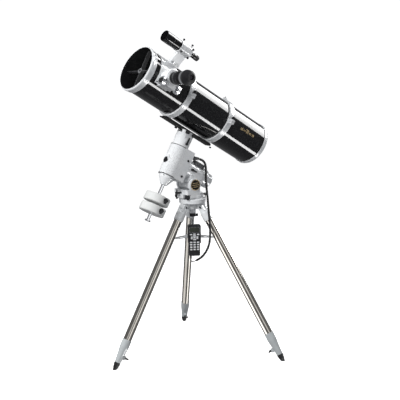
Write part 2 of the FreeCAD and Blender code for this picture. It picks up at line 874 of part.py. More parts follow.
def saddle_screws():
    """Two thumb screws that clamp the dovetail from the west side."""
    pieces = []
    for height in (-24, 24):
        pieces.append(cylinder(4, 18, (163, -42, height), "y"))
        pieces.append(cylinder(10, 14, (163, -56, height), "y"))
    return fuse(*pieces)


def dec_collar():
    """The lower end of the declination axis, a cone that the weight shaft screws into."""
    cone_body = revolved(
        (0, 0),
        (20, 0),
        (22, 4),
        (40, 34),
        (41, "dec_low - collar_low - part_gap"),
        ("axis_radius + part_gap", "dec_low - collar_low - part_gap"),
        ("axis_radius + part_gap", "dec_low - collar_low - 6"),
        (0, "dec_low - collar_low - 6"),
    )
    place(cone_body, ("collar_low", 0, 0), AXES["x"])
    return fuse(cone_body, cylinder(16, 4, ("collar_low - 3", 0, 0), "x"))


def counterweight_shaft():
    shaft = cylinder("shaft_radius", "collar_low - 3.4 - shaft_low", ("shaft_low", 0, 0), "x")
    stop = cylinder(16, 8, ("shaft_low - 8", 0, 0), "x")
    return fuse(shaft, stop)


def counterweight(centre):
    """A drum with rounded edges, bored to slide on the shaft and tapped for its screw."""
    half = "weight_thick / 2"
    drum = revolved(
        ("shaft_radius + fit_gap", "-(%s)" % half),
        ("weight_radius - 4", "-(%s)" % half),
        ("weight_radius", "-(%s) + 4" % half),
        ("weight_radius", "%s - 4" % half),
        ("weight_radius - 4", half),
        ("shaft_radius + fit_gap", half),
    )
    place(drum, (centre, 0, 0), AXES["x"])
    tapped = cylinder("4 + fit_gap", "weight_radius", (centre, "-weight_radius - 2", 0), "y")
    return cut(drum, tapped)


def counterweight_screw(centre):
    screw = cylinder(4, "weight_radius", (centre, "-weight_radius - 10", 0), "y")
    grip = cylinder(9, 14, (centre, "-weight_radius - 18", 0), "y")
    low = ("%s - 15" % centre, "-weight_radius - 18", -4)
    wing = box(low, ("%s + 15" % centre, "-weight_radius - 6", 4))
    return fuse(screw, grip, wing)


def dec_clutch_lever():
    hub = cylinder(7, 10, (104, "-saddle_radius - 10.4", 0), "y")
    arm = box((100, "-saddle_radius - 10.4", -4), (140, "-saddle_radius - 4", 4))
    return fuse(hub, arm)


part("dec_housing", dec_housing(), polar)
part("saddle", saddle(), polar)
part("saddle_screws", saddle_screws(), polar)
part("dec_collar", dec_collar(), polar)
part("dec_clutch_lever", dec_clutch_lever(), polar)
part("counterweight_shaft", counterweight_shaft(), polar)
for level in ("upper", "lower"):
    centre = "weight_" + level
    part("counterweight_" + level, counterweight(centre), polar)
    part("counterweight_screw_" + level, counterweight_screw(centre), polar)

# ------------------------------------------------------------------ rings and dovetail

RINGS = {"front": "ring_spacing", "rear": "-ring_spacing"}


def half_ring(level, side):
    """Half of a tube ring; side +1 is the half away from the mount."""
    ring = revolved(
        ("ring_bore", "%s - ring_half" % level),
        ("ring_radius", "%s - ring_half" % level),
        ("ring_radius", "%s + ring_half" % level),
        ("ring_bore", "%s + ring_half" % level),
    )
    low = ("0.5", "-200", "%s - 30" % level)
    high = ("200", "200", "%s + 30" % level)
    if side < 0:
        low, high = ("-200", low[1], low[2]), ("-0.5", high[1], high[2])
    return common(ring, box(low, high))


def ring_base(level):
    """The lower half: foot on the dovetail, slotted lug for the screw, outer hinge knuckles."""
    pieces = [half_ring(level, -1)]
    foot_low = ("dovetail_top", -22, "%s - 11" % level)
    pieces.append(box(foot_low, ("-ring_bore - 4", 22, "%s + 11" % level)))
    lug_low = (-12, "-lug_reach - 9", "%s - 10" % level)
    pieces.append(box(lug_low, (-1, "-ring_bore - 3", "%s + 10" % level)))
    for start in (-14, 7):
        low = "%s + %d" % (level, start)
        pieces.append(cylinder(5, 7, (0, "hinge_reach", low)))
        pieces.append(box((-5, "ring_bore + 4", low), (-0.5, "hinge_reach", low + " + 7")))
    solid = fuse(*pieces)
    screw_room = cylinder(3.9, 12, (-12.5, "-lug_reach", level), "x")
    pin_hole = cylinder("2.5", 40, (0, "hinge_reach", "%s - 20" % level))
    tube_room = cylinder("ring_bore", 60, (0, 0, "%s - 30" % level))
    pin = cylinder("2.5", 30, (0, "hinge_reach", "%s - 15" % level))
    return fuse(cut(solid, screw_room, tube_room), pin)


def ring_top(level):
    """The upper half, with its screw lug and the middle hinge knuckle."""
    lug = box((1, "-lug_reach - 9", "%s - 10" % level), (12, "-ring_bore - 3", "%s + 10" % level))
    knuckle = cylinder(5, 13.3, (0, "hinge_reach", "%s - 6.65" % level))
    web = box((0.5, "ring_bore + 4", "%s - 6.65" % level), (5, "hinge_reach", "%s + 6.65" % level))
    solid = fuse(half_ring(level, 1), lug, knuckle, web)
    screw_bore = cylinder("3 + fit_gap", 14, (0, "-lug_reach", level), "x")
    pin_bore = cylinder("2.5 + fit_gap", 20, (0, "hinge_reach", "%s - 10" % level))
    tube_room = cylinder("ring_bore", 60, (0, 0, "%s - 30" % level))
    solid = cut(solid, screw_bore, pin_bore, tube_room)
    if level.startswith("-"):
        seat = cylinder(13, 8, ("ring_radius - 4", 0, level), "x")
        stud = cylinder("stud_radius", 18, ("ring_radius", 0, level), "x")
        nut = cylinder(11, 5, ("ring_radius + 4", 0, level), "x")
        inside = cylinder("ring_bore", 60, (0, 0, "%s - 30" % level))
        solid = fuse(cut(fuse(solid, seat), inside), stud, nut)
    return solid


def ring_knob(level):
    stud = cylinder(3, 22, (-8, "-lug_reach", level), "x")
    grip = cylinder(9.5, 16, (12.4, "-lug_reach", level), "x")
    return fuse(stud, grip)


def dovetail_bar():
    return padded(
        "XY_Plane",
        [
            ("dovetail_low", 22.5),
            ("dovetail_low", -22.5),
            ("dovetail_top - 0.4", -18.5),
            ("dovetail_top - 0.4", 18.5),
        ],
        "2 * dovetail_half",
    )


part("dovetail_bar", dovetail_bar(), optics)
part("ring_bases", fuse(*[ring_base(level) for level in RINGS.values()]), optics)
for side, level in RINGS.items():
    part("ring_top_" + side, ring_top(level), optics)
    part("ring_knob_" + side, ring_knob(level), optics)

# ------------------------------------------------------------------ tube


def tube():
    """The rolled tube, pierced for the focuser."""
    shell = revolved(
        ("tube_bore", "tube_rear"),
        ("tube_radius", "tube_rear"),
        ("tube_radius", "tube_front"),
        ("tube_bore", "tube_front"),
    )
    hole = cylinder("draw_radius + 1", 60, (0, 0, 90))
    hole = fuse(hole, cylinder("draw_radius + 1", 40, (0, 0, 100)))
    hole.Placement = Placement(Vector(0, 0, value("focuser_height")), focus_turn)
    return cut(shell, hole)


def front_ring():
    """A rolled rim around the open end."""
    return revolved(
        ("tube_radius + part_gap", "rim_low"),
        ("tube_radius + 4", "rim_low"),
        ("rim_radius - 2", "rim_top - 22"),
        ("rim_radius", "rim_top - 14"),
        ("rim_radius", "rim_top - 5"),
        ("rim_radius - 3", "rim_top"),
        ("rim_bore + 1", "rim_top"),
        ("rim_bore", "rim_top - 1"),
        ("rim_bore", "tube_front + 0.4"),
        ("tube_radius + part_gap", "tube_front + 0.4"),
    )


def rear_cell():
    """The rear casting: a rim around the tube's end, a back ring and a three-armed mirror carrier."""
    rim = revolved(
        ("tube_radius + part_gap", "cell_front"),
        ("cell_radius", "cell_front"),
        ("cell_radius", "cell_rear + 8"),
        ("cell_radius - 4", "cell_rear"),
        ("cell_radius - 22", "cell_rear"),
        ("cell_radius - 22", "tube_rear - 5"),
        ("cell_radius - 14", "tube_rear - 0.4"),
        ("tube_radius + part_gap", "tube_rear - 0.4"),
    )
    arms = padded("XY_Plane", [(0, -9), (102, -9), (102, 9), (0, 9)], 8, spokes=3)
    place(arms, (0, 0, "cell_rear + 8"), AXES["z"])
    hub = cylinder(30, 8, (0, 0, "cell_rear + 4"))
    pads = []
    for angle in (0, 120, 240):
        pad = cylinder(6, "mirror_rear - cell_rear - 8 - part_gap", (70, 0, "cell_rear + 8"))
        pads.append(turned(fuse(pad, cylinder(4, 6, (70, 0, "cell_rear + 6"))), spoke(angle)))
    return fuse(rim, arms, hub, *pads)


def primary_mirror():
    disc = cylinder("mirror_radius", "mirror_front - mirror_rear", (0, 0, "mirror_rear"))
    bowl = sphere("mirror_curve", (0, 0, "mirror_front - 2.6 + mirror_curve"))
    return cut(disc, bowl)


def spider():
    """Four vanes, the hub in the middle and the stalk that carries the small mirror."""
    vanes = []
    for angle in (0, 90):
        low = ("-tube_bore + 0.4", "-vane_thick / 2", "vane_low")
        vane = box(low, ("tube_bore - 0.4", "vane_thick / 2", "vane_top"))
        vane = common(vane, cylinder("tube_bore - 0.4", 40, (0, 0, "vane_low - 5")))
        vanes.append(turned(vane, spoke(angle + value("focuser_angle"))))
    hub = cylinder("holder_radius", 20, (0, 0, "vane_top - 18"))
    stalk = cylinder(6, "vane_top - secondary_height - 30", (0, 0, "secondary_height + 28"))
    cup = cylinder(27, 8, (0, 0, "secondary_height + 29"))
    return fuse(*vanes, hub, stalk, cup)


def secondary_mirror():
    """A round bar cut at 45 degrees so that it faces both the main mirror and the focuser."""
    bar = cylinder(26, 64, (0, 0, "secondary_height - 36"))
    wedge = group(box((-90, -90, -120), (90, 90, 0)))
    out = Vector(math.sin(focus_angle), -math.cos(focus_angle), 0)
    normal = out + Vector(0, 0, -1)
    wedge.Placement = Placement(
        Vector(0, 0, value("secondary_height")), Rotation(Vector(0, 0, -1), normal)
    )
    return cut(bar, wedge)


part("tube", tube(), optics)
part("front_ring", front_ring(), optics)
part("rear_cell", rear_cell(), optics)
part("primary_mirror", primary_mirror(), optics)
part("spider", spider(), optics)
part("secondary_mirror", secondary_mirror(), optics)

# ------------------------------------------------------------------ focuser


def focuser_base():
    """The curved plate on the tube, the housing that guides the drawtube and the finder's shoe."""
    ring = cylinder("plate_radius", "2 * plate_half", (0, "-plate_half", 0), "y")
    sector_low = ("-plate_radius * sin(23)", "-plate_half", 0)
    sector = box(sector_low, ("plate_radius * sin(86)", "plate_half", 160))
    plate = common(ring, sector)
    housing = fuse(
        cylinder("housing_radius", "housing_top - 100", (0, 0, 100)),
        cylinder("housing_radius - 6", 4, (0, 0, "housing_top - 1")),
        box(("knob_offset - 14", -30, 95), (0, 30, "housing_top")),
        box(("knob_offset - 14", -30, 95), ("knob_offset + 5.5", 30, "knob_height + 12")),
    )
    shoe_turn = Rotation(Vector(0, 1, 0), value("finder_angle") - value("focuser_angle"))
    shoe = fuse(box((-16, -30, 112), (16, 22, 127)), cylinder(4, 4, (0, 0, 114)))
    turned(shoe, shoe_turn, (0, "finder_height - focuser_height", 0))
    bores = [
        cylinder("draw_radius + fit_gap", 120, (0, 0, 80)),
        cylinder("4 + fit_gap", 90, ("knob_offset", -45, "knob_height"), "y"),
        cylinder("tube_radius + part_gap", 400, (0, -200, 0), "y"),
    ]
    return cut(fuse(plate, housing, shoe), *bores)


def focuser_drawtube():
    """The sliding tube, with the wide locking drum at its outer end."""
    return revolved(
        ("draw_radius - 2.5", "draw_low"),
        ("draw_radius", "draw_low"),
        ("draw_radius", "drum_low"),
        ("drum_radius - 2", "drum_low"),
        ("drum_radius", "drum_low + 3"),
        ("drum_radius", "draw_top - 3"),
        ("drum_radius - 2", "draw_top"),
        (16.2, "draw_top"),
        (16.2, "draw_top - 16"),
        ("draw_radius - 2.5", "draw_top - 20"),
    )


def focus_knobs():
    """Two knobs on one axle across the housing."""
    pieces = [cylinder(4, "2 * knob_reach", ("knob_offset", "-knob_reach", "knob_height"), "y")]
    for start in ("knob_reach - 8", "-knob_reach - 9"):
        pieces.append(cylinder("knob_radius", 17, ("knob_offset", start, "knob_height"), "y"))
    return fuse(*pieces)


def eyepiece():
    """A wide eyepiece: barrel in the drawtube, adaptor, body, rounded eye end and a dished lens."""
    return revolved(
        (0, "draw_top - 18"),
        (15.87, "draw_top - 18"),
        (15.87, "draw_top + part_gap"),
        ("adaptor_radius", "draw_top + part_gap"),
        ("adaptor_radius", "adaptor_top"),
        ("eyepiece_radius - 3", "adaptor_top"),
        ("eyepiece_radius", "adaptor_top + 8"),
        ("eyepiece_radius", "eyepiece_top - 28"),
        ("eyepiece_radius - 4", "eyepiece_top - 12"),
        ("eyepiece_radius - 14", "eyepiece_top"),
        (15, "eyepiece_top"),
        (12, "eyepiece_top - 6"),
        (0, "eyepiece_top - 6"),
    )


part("focuser_base", focuser_base(), focus)
part("focuser_drawtube", focuser_drawtube(), focus)
part("focus_knobs", focus_knobs(), focus)
part("eyepiece", eyepiece(), focus)

# ------------------------------------------------------------------ finder


def finder_scope():
    """The small guide telescope: dew shield, slim tube and eyepiece."""
    return revolved(
        (0, -99),
        (12, -99),
        (14, -97),
        (14, -64),
        (10, -62),
        (10, -54),
        (16, -52),
        (16, 44),
        (28.5, 46),
        (28.5, 88),
        (29.5, 90),
        (29.5, 139),
        (28.5, 141),
        (27.2, 141),
        (27.2, 104),
        (0, 104),
    )


def finder_bracket():
    """A sleeve round the finder, an arm and a foot in the tube's shoe."""
    sleeve = cylinder(31, 72, (0, 0, -34))
    arm = box(("-finder_reach + 127.4", -11, -30), (-20, 11, 26))
    foot = box(("-finder_reach + 127.4", -15, -30), ("-finder_reach + 137", 15, 26))
    bore = cylinder(25, 100, (0, 0, -50))
    return cut(fuse(sleeve, arm, foot), bore)


part("finder_scope", finder_scope(), finder)
part("finder_bracket", finder_bracket(), finder)

# ------------------------------------------------------------------ check and export

doc.recompute()
for item in doc.Objects:
    if "Invalid" in item.State or "Error" in item.State:
        raise SystemExit("failed: %s (%s)" % (item.Name, item.Label))
for name, item in parts.items():
    if item.Shape.isNull() or not item.Shape.isValid():
        raise SystemExit("bad shape: " + name)

os.makedirs("parts", exist_ok=True)
for name, item in parts.items():
    item.Shape.exportStep("parts/%s.step" % name)
print("%d sub-parts" % len(parts))
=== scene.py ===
# Looks for a reflecting telescope on an equatorial mount and a three-legged tripod.
#
# Metres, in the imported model's own frame: +Z up, -X towards the pole, -Y towards the focuser's side.
import math

import bmesh
import bpy
from mathutils import Matrix, Vector


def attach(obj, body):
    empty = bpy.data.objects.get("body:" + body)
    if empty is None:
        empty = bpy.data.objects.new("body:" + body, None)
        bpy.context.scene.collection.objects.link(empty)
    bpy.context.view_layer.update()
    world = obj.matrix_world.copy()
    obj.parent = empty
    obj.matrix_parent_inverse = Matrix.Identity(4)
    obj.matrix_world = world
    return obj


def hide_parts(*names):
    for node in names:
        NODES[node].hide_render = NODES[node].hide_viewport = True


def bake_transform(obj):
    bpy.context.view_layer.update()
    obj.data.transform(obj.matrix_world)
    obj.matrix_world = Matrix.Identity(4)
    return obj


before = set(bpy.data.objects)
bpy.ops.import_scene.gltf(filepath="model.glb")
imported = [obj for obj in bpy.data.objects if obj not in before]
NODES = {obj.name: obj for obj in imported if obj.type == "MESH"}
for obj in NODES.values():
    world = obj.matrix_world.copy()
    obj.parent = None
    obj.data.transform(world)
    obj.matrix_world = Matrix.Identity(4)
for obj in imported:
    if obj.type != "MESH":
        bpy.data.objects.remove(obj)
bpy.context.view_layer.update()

# ------------------------------------------------------------------ frames of the assemblies

LATITUDE = math.radians(30)
POLE = Vector((-math.cos(LATITUDE), 0, math.sin(LATITUDE)))
RISE = Vector((math.sin(LATITUDE), 0, math.cos(LATITUDE)))
SIDE = Vector((0, 1, 0))
PIVOT = Vector((-0.024, 0, 0.937))
AXES_CROSS = PIVOT + RISE * 0.065 + POLE * 0.149
FOCUS_ANGLE = math.radians(3)
FINDER_ANGLE = math.radians(62)


def frame_of(origin, x_axis, z_axis):
    """The matrix of a frame with its X and Z axes where they are given."""
    z_axis = z_axis.normalized()
    y_axis = z_axis.cross(x_axis).normalized()
    x_axis = y_axis.cross(z_axis)
    matrix = Matrix((x_axis, y_axis, z_axis)).transposed().to_4x4()
    matrix.translation = origin
    return matrix


POLAR = frame_of(AXES_CROSS, RISE, POLE)
OPTICS = POLAR @ Matrix.Translation((0.315, 0, 0))
FOCUS_OUT = RISE * math.sin(FOCUS_ANGLE) - SIDE * math.cos(FOCUS_ANGLE)
FOCUS = frame_of(OPTICS @ Vector((0, 0, 0.320)), RISE, FOCUS_OUT)
FINDER_OUT = RISE * math.sin(FINDER_ANGLE) - SIDE * math.cos(FINDER_ANGLE)
FINDER = frame_of(OPTICS @ Vector((0, 0, 0.285)) + FINDER_OUT * 0.217, FINDER_OUT, POLE)
HANDSET = Matrix.Rotation(math.radians(-30), 4, "Z") @ Matrix.Translation((0, -0.078, 0.640))


def along(matrix, at, axis):
    """A frame at a point of another, with its Z axis along one of that frame's directions."""
    direction = (matrix.to_3x3() @ Vector(axis)).normalized()
    spare = Vector((0, 1, 0)) if abs(direction.y) < 0.9 else Vector((1, 0, 0))
    return frame_of(matrix @ Vector(at), spare, direction)


# ------------------------------------------------------------------ materials


class Look:
    """A procedural material under construction."""

    def __init__(self, name):
        self.material = bpy.data.materials.new(name)
        self.material.use_nodes = True
        self.tree = self.material.node_tree
        self.shader = self.tree.nodes["Principled BSDF"]
        self.coords = self.tree.nodes.new("ShaderNodeTexCoord").outputs["Object"]

    def set(self, **sockets):
        for name, value in sockets.items():
            self.shader.inputs[name.replace("_", " ")].default_value = value
        return self

    def node(self, kind, **inputs):
        node = self.tree.nodes.new("ShaderNode" + kind)
        for name, value in inputs.items():
            node.inputs[name].default_value = value
        return node

    def link(self, output, target):
        self.tree.links.new(output, target)

    def noise(self, scale, detail=4.0, stretch=None):
        node = self.node("TexNoise", Scale=scale, Detail=detail)
        source = self.coords
        if stretch is not None:
            mapping = self.tree.nodes.new("ShaderNodeMapping")
            mapping.inputs["Rotation"].default_value = stretch[0]
            mapping.inputs["Scale"].default_value = stretch[1]
            self.link(source, mapping.inputs["Vector"])
            source = mapping.outputs["Vector"]
        self.link(source, node.inputs["Vector"])
        return node.outputs["Fac"]

    def span(self, source, low, high, start=0.3, end=0.7):
        """Maps a factor onto a range of numbers."""
        node = self.tree.nodes.new("ShaderNodeMapRange")
        for name, value in (("From Min", start), ("From Max", end), ("To Min", low), ("To Max", high)):
            node.inputs[name].default_value = value
        self.link(source, node.inputs["Value"])
        return node.outputs["Result"]

    def blend(self, factor, dark, light, target="Base Color"):
        """Mixes two colours by a factor, into a socket of the shader."""
        node = self.tree.nodes.new("ShaderNodeMix")
        node.data_type = "RGBA"
        node.inputs[6].default_value = (*dark, 1)
        node.inputs[7].default_value = (*light, 1)
        self.link(factor, node.inputs[0])
        self.link(node.outputs[2], self.shader.inputs[target])
        return node

    def rough(self, scale, low, high, stretch=None):
        self.link(self.span(self.noise(scale, 5.0, stretch), low, high), self.shader.inputs["Roughness"])
        return self

    def bump(self, scale, height, detail=3.0, stretch=None):
        node = self.node("Bump", Distance=height, Strength=0.6)
        self.link(self.noise(scale, detail, stretch), node.inputs["Height"])
        self.link(node.outputs["Normal"], self.shader.inputs["Normal"])
        return self

    def worn(self, dark, light, worn, scale=22.0):
        """Colour that drifts between two shades, with a third where edges are rubbed."""
        base = self.blend(self.span(self.noise(scale), 0, 1), dark, light)
        geometry = self.tree.nodes.new("ShaderNodeNewGeometry")
        edge = self.span(geometry.outputs["Pointiness"], 0, 1, 0.56, 0.66)
        breakup = self.span(self.noise(160.0, 6.0), 0, 1, 0.48, 0.6)
        both = self.tree.nodes.new("ShaderNodeMath")
        both.operation = "MULTIPLY"
        self.link(edge, both.inputs[0])
        self.link(breakup, both.inputs[1])
        node = self.tree.nodes.new("ShaderNodeMix")
        node.data_type = "RGBA"
        node.inputs[7].default_value = (*worn, 1)
        self.link(base.outputs[2], node.inputs[6])
        self.link(both.outputs[0], node.inputs[0])
        self.link(node.outputs[2], self.shader.inputs["Base Color"])
        return self


def white_enamel():
    look = Look("white_enamel").worn((0.76, 0.78, 0.80), (0.84, 0.85, 0.86), (0.60, 0.61, 0.62))
    look.rough(40.0, 0.24, 0.36).bump(420.0, 0.00005)
    return look.set(Coat_Weight=0.35, Coat_Roughness=0.12).material


def leg_enamel_and_shade():
    """White paint on the fittings, with painted shade: below 0.30 m up the colour turns a darker grey, for
    the lesser light on the lower sleeves.
    """
    look = Look("leg_enamel_and_shade")
    height = look.node("SeparateXYZ")
    look.link(look.coords, height.inputs[0])
    # Painted shade: below 0.30 m the fittings get a darker grey, because less light falls on them there.
    low_shade = look.span(height.outputs["Z"], 1, 0, 0.30, 0.31)
    mottle = look.span(look.noise(40.0), -0.06, 0.06)
    both = look.tree.nodes.new("ShaderNodeMath")
    look.link(low_shade, both.inputs[0])
    look.link(mottle, both.inputs[1])
    look.blend(both.outputs[0], (0.80, 0.82, 0.83), (0.50, 0.53, 0.54))
    look.rough(40.0, 0.24, 0.36).bump(420.0, 0.00005)
    return look.set(Coat_Weight=0.35, Coat_Roughness=0.12).material


def cast_enamel():
    """Thicker paint over a sand casting, on the counterweights."""
    look = Look("cast_enamel").worn((0.68, 0.69, 0.68), (0.77, 0.78, 0.77), (0.40, 0.39, 0.38))
    look.rough(60.0, 0.38, 0.55).bump(260.0, 0.0004, 6.0)
    return look.set(Coat_Weight=0.15, Coat_Roughness=0.3).material


def black_enamel():
    look = Look("black_enamel").worn((0.004, 0.004, 0.005), (0.007, 0.007, 0.008), (0.03, 0.03, 0.032), 5.0)
    look.rough(8.0, 0.05, 0.08).bump(14.0, 0.00001, 1.0)
    return look.set(Specular_IOR_Level=0.32).material


def flat_black():
    look = Look("flat_black").worn((0.006, 0.006, 0.007), (0.011, 0.011, 0.012), (0.03, 0.03, 0.03))
    return look.rough(80.0, 0.6, 0.8).bump(600.0, 0.0001).set(Specular_IOR_Level=0.3).material


def black_plastic():
    look = Look("black_plastic").worn((0.007, 0.007, 0.008), (0.013, 0.013, 0.015), (0.06, 0.06, 0.065))
    look.rough(90.0, 0.34, 0.52).bump(900.0, 0.0001)
    return look.set(Specular_IOR_Level=0.38).material


def grey_plastic():
    look = Look("grey_plastic").worn((0.045, 0.047, 0.050), (0.070, 0.072, 0.076), (0.22, 0.22, 0.23))
    return look.rough(90.0, 0.35, 0.5).bump(900.0, 0.00015).material


def rubber():
    look = Look("rubber").worn((0.012, 0.012, 0.013), (0.022, 0.022, 0.023), (0.07, 0.068, 0.065))
    return look.rough(120.0, 0.55, 0.8).bump(700.0, 0.0003).material


def leg_steel(direction, name):
    """Drawn steel, its grain along the tube."""
    turn = Vector((0, 0, 1)).rotation_difference(Vector(direction)).to_euler()
    stretch = (tuple(-angle for angle in turn), (60, 60, 1.2))
    look = Look(name)
    look.blend(look.span(look.noise(14.0, 3.0), 0, 1), (0.36, 0.34, 0.31), (0.45, 0.43, 0.395))
    look.rough(8.0, 0.07, 0.12, stretch).bump(240.0, 0.000002, 2.0)
    return look.set(Metallic=1.0).material


def chrome():
    look = Look("chrome")
    look.blend(look.span(look.noise(30.0), 0, 1), (0.74, 0.75, 0.77), (0.84, 0.85, 0.86))
    return look.rough(60.0, 0.07, 0.16).bump(200.0, 0.00004).set(Metallic=1.0).material


def bare_aluminium():
    look = Look("bare_aluminium").worn((0.66, 0.67, 0.69), (0.76, 0.77, 0.79), (0.85, 0.85, 0.86))
    return look.rough(90.0, 0.25, 0.38).bump(500.0, 0.0001).set(Metallic=0.9).material


def mirror_coat():
    look = Look("mirror_coat")
    look.blend(look.span(look.noise(12.0), 0, 1), (0.86, 0.87, 0.88), (0.92, 0.93, 0.94))
    return look.rough(50.0, 0.02, 0.04).bump(100.0, 0.00001).set(Metallic=1.0).material


def bronze():
    look = Look("bronze").worn((0.33, 0.24, 0.12), (0.46, 0.35, 0.19), (0.65, 0.52, 0.32), 90.0)
    return look.rough(120.0, 0.22, 0.4).bump(400.0, 0.0001).set(Metallic=0.9).material


def key_caps():
    look = Look("key_caps").worn((0.80, 0.82, 0.84), (0.88, 0.90, 0.92), (0.6, 0.6, 0.6))
    return look.rough(200.0, 0.35, 0.5).bump(900.0, 0.0001).material


def screen_face():
    """A dark green display, faintly mottled, under a clear coat."""
    look = Look("screen_face")
    bands = look.node("TexBrick", Scale=120.0)
    bands.inputs["Mortar Size"].default_value = 0.03
    look.link(look.coords, bands.inputs["Vector"])
    look.blend(look.span(look.noise(40.0), 0, 1), (0.018, 0.022, 0.014), (0.030, 0.036, 0.022))
    look.rough(50.0, 0.05, 0.12).bump(300.0, 0.00002)
    return look.set(Coat_Weight=1.0, Coat_Roughness=0.03).material


def lens_glass():
    look = Look("lens_glass")
    look.blend(look.span(look.noise(20.0), 0, 1), (0.010, 0.006, 0.016), (0.020, 0.012, 0.030))
    return look.rough(40.0, 0.02, 0.05).bump(60.0, 0.00001).set(Coat_Weight=1.0).material


WHITE = white_enamel()
CAST = cast_enamel()
LEG_PAINT_AND_SHADE = leg_enamel_and_shade()
GLOSS_BLACK = black_enamel()
FLAT_BLACK = flat_black()
PLASTIC = black_plastic()
GREY = grey_plastic()
RUBBER = rubber()
CHROME = chrome()
ALUMINIUM = bare_aluminium()
MIRROR = mirror_coat()
BRONZE = bronze()
KEYS = key_caps()
SCREEN = screen_face()
LENS = lens_glass()

NODE_LOOKS = {
    WHITE: (
        "tripod_head", "spreader_tray", "azimuth_base", "ra_housing", "dec_housing", "dec_collar",
        "saddle", "ring_bases", "ring_top_front", "ring_top_rear", "rear_cell", "front_ring",
        "focuser_base", "finder_bracket",
    ),
    LEG_PAINT_AND_SHADE: ("leg_north_fittings", "leg_west_fittings", "leg_east_fittings"),
    CAST: ("counterweight_upper", "counterweight_lower"),
    PLASTIC: (
        "mount_knob", "spreader_knob", "latitude_bolt_north", "latitude_bolt_south",
        "handset_holder", "handset_case", "handset_plug",
        "azimuth_bolt_east", "azimuth_bolt_west", "ra_clutch_lever", "dec_clutch_lever",
        "saddle_screws", "counterweight_screw_upper", "counterweight_screw_lower",
        "ring_knob_front", "ring_knob_rear", "leg_north_lever", "leg_west_lever", "leg_east_lever",
        "focuser_drawtube", "eyepiece",
    ),
    GREY: ("control_panel",),
    RUBBER: ("cord_coil", "cord_tail", "leg_north_foot", "leg_west_foot", "leg_east_foot"),
    CHROME: ("counterweight_shaft", "tripod_fasteners", "focus_knobs"),
    ALUMINIUM: ("spider",),
    FLAT_BLACK: ("dovetail_bar",),
    GLOSS_BLACK: ("tube", "finder_scope"),
    MIRROR: ("primary_mirror", "secondary_mirror"),
    KEYS: ("handset_menu_keys", "handset_number_keys"),
}


def paint(piece, material):
    piece.data.materials.clear()
    piece.data.materials.append(material)


for material, names in NODE_LOOKS.items():
    for name in names:
        paint(NODES[name], material)

LEG_ANGLES = {"north": 180, "west": -60, "east": 60}
SPLAY = math.radians(29.74)


def leg_frame(angle):
    """The frame of one leg: its origin on the hinge, +Z up along the leg, +X outwards."""
    turn = Matrix.Rotation(math.radians(angle), 4, "Z")
    return turn @ Matrix.Translation((0.057, 0, 0.812)) @ Matrix.Rotation(-SPLAY, 4, "Y")


LEGS = {side: leg_frame(angle) for side, angle in LEG_ANGLES.items()}
for side, leg in LEGS.items():
    paint(NODES["leg_%s_tube" % side], leg_steel(leg.to_3x3() @ Vector((0, 0, 1)), "leg_steel_" + side))

# ------------------------------------------------------------------ mesh tools


def finish_piece(mesh, name, material, body, sharp=35):
    """Makes an object of a mesh, shades it and lets it ride on its body."""
    mesh.set_sharp_from_angle(angle=math.radians(sharp))
    piece = bpy.data.objects.new(name, mesh)
    bpy.context.scene.collection.objects.link(piece)
    piece.data.materials.append(material)
    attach(piece, body)
    return piece


def mesh_from(name, matrix, points, faces, smooth=True):
    mesh = bpy.data.meshes.new(name)
    mesh.from_pydata([matrix @ Vector(point) for point in points], [], faces)
    mesh.validate()
    work = bmesh.new()
    work.from_mesh(mesh)
    bmesh.ops.remove_doubles(work, verts=work.verts, dist=0.000005)
    bmesh.ops.recalc_face_normals(work, faces=work.faces)
    work.to_mesh(mesh)
    work.free()
    for face in mesh.polygons:
        face.use_smooth = smooth
    return mesh


def lathe_points(outline, count, ripple=None):
    """The points and faces of an outline of (radius, height) turned about Z."""
    points = []
    for radius, height in outline:
        for index in range(count):
            angle = 2 * math.pi * index / count
            size = radius + (ripple(radius, height, index) if ripple else 0)
            points.append((size * math.cos(angle), size * math.sin(angle), height))
    faces = []
    for row in range(len(outline) - 1):
        for index in range(count):
            after = (index + 1) % count
            low = row * count
            faces.append((low + index, low + after, low + count + after, low + count + index))
    if outline[0][0] > 1e-6:
        faces.append(tuple(reversed(range(count))))
    if outline[-1][0] > 1e-6:
        faces.append(tuple(range((len(outline) - 1) * count, len(outline) * count)))
    return points, faces


def lathe(name, matrix, outline, material, body, count=64, ripple=None, closed=False):
    """A turned piece; a closed outline is a ring."""
    points, faces = lathe_points(outline, count, ripple)
    if closed:
        faces = [face for face in faces if len(face) == 4]
        last = (len(outline) - 1) * count
        for index in range(count):
            after = (index + 1) % count
            faces.append((last + index, last + after, after, index))
    return finish_piece(mesh_from(name, matrix, points, faces), name, material, body)


def knurled(name, matrix, radius, length, material, body, ribs=24, depth=0.0007):
    """A grip with fine ribs round its side and rounded edges."""
    edge = min(0.0025, length / 5)
    outline = [
        (0, 0),
        (radius - edge, 0),
        (radius, edge),
        (radius, length - edge),
        (radius - edge, length),
        (radius * 0.55, length),
        (radius * 0.5, length - 0.0012),
        (0, length - 0.0012),
    ]

    def ripple(size, height, index):
        return -depth if size > radius * 0.99 and index % 4 in (0, 1) else 0

    return lathe(name, matrix, outline, material, body, ribs * 4, ripple)


def screw_head(name, matrix, radius, material, body):
    """A domed socket screw."""
    outline = [
        (0, -0.001),
        (radius, -0.001),
        (radius, radius * 0.5),
        (radius * 0.8, radius * 0.8),
        (radius * 0.5, radius * 0.9),
        (radius * 0.45, radius * 0.4),
        (0, radius * 0.4),
    ]
    return lathe(name, matrix, outline, material, body, 24)


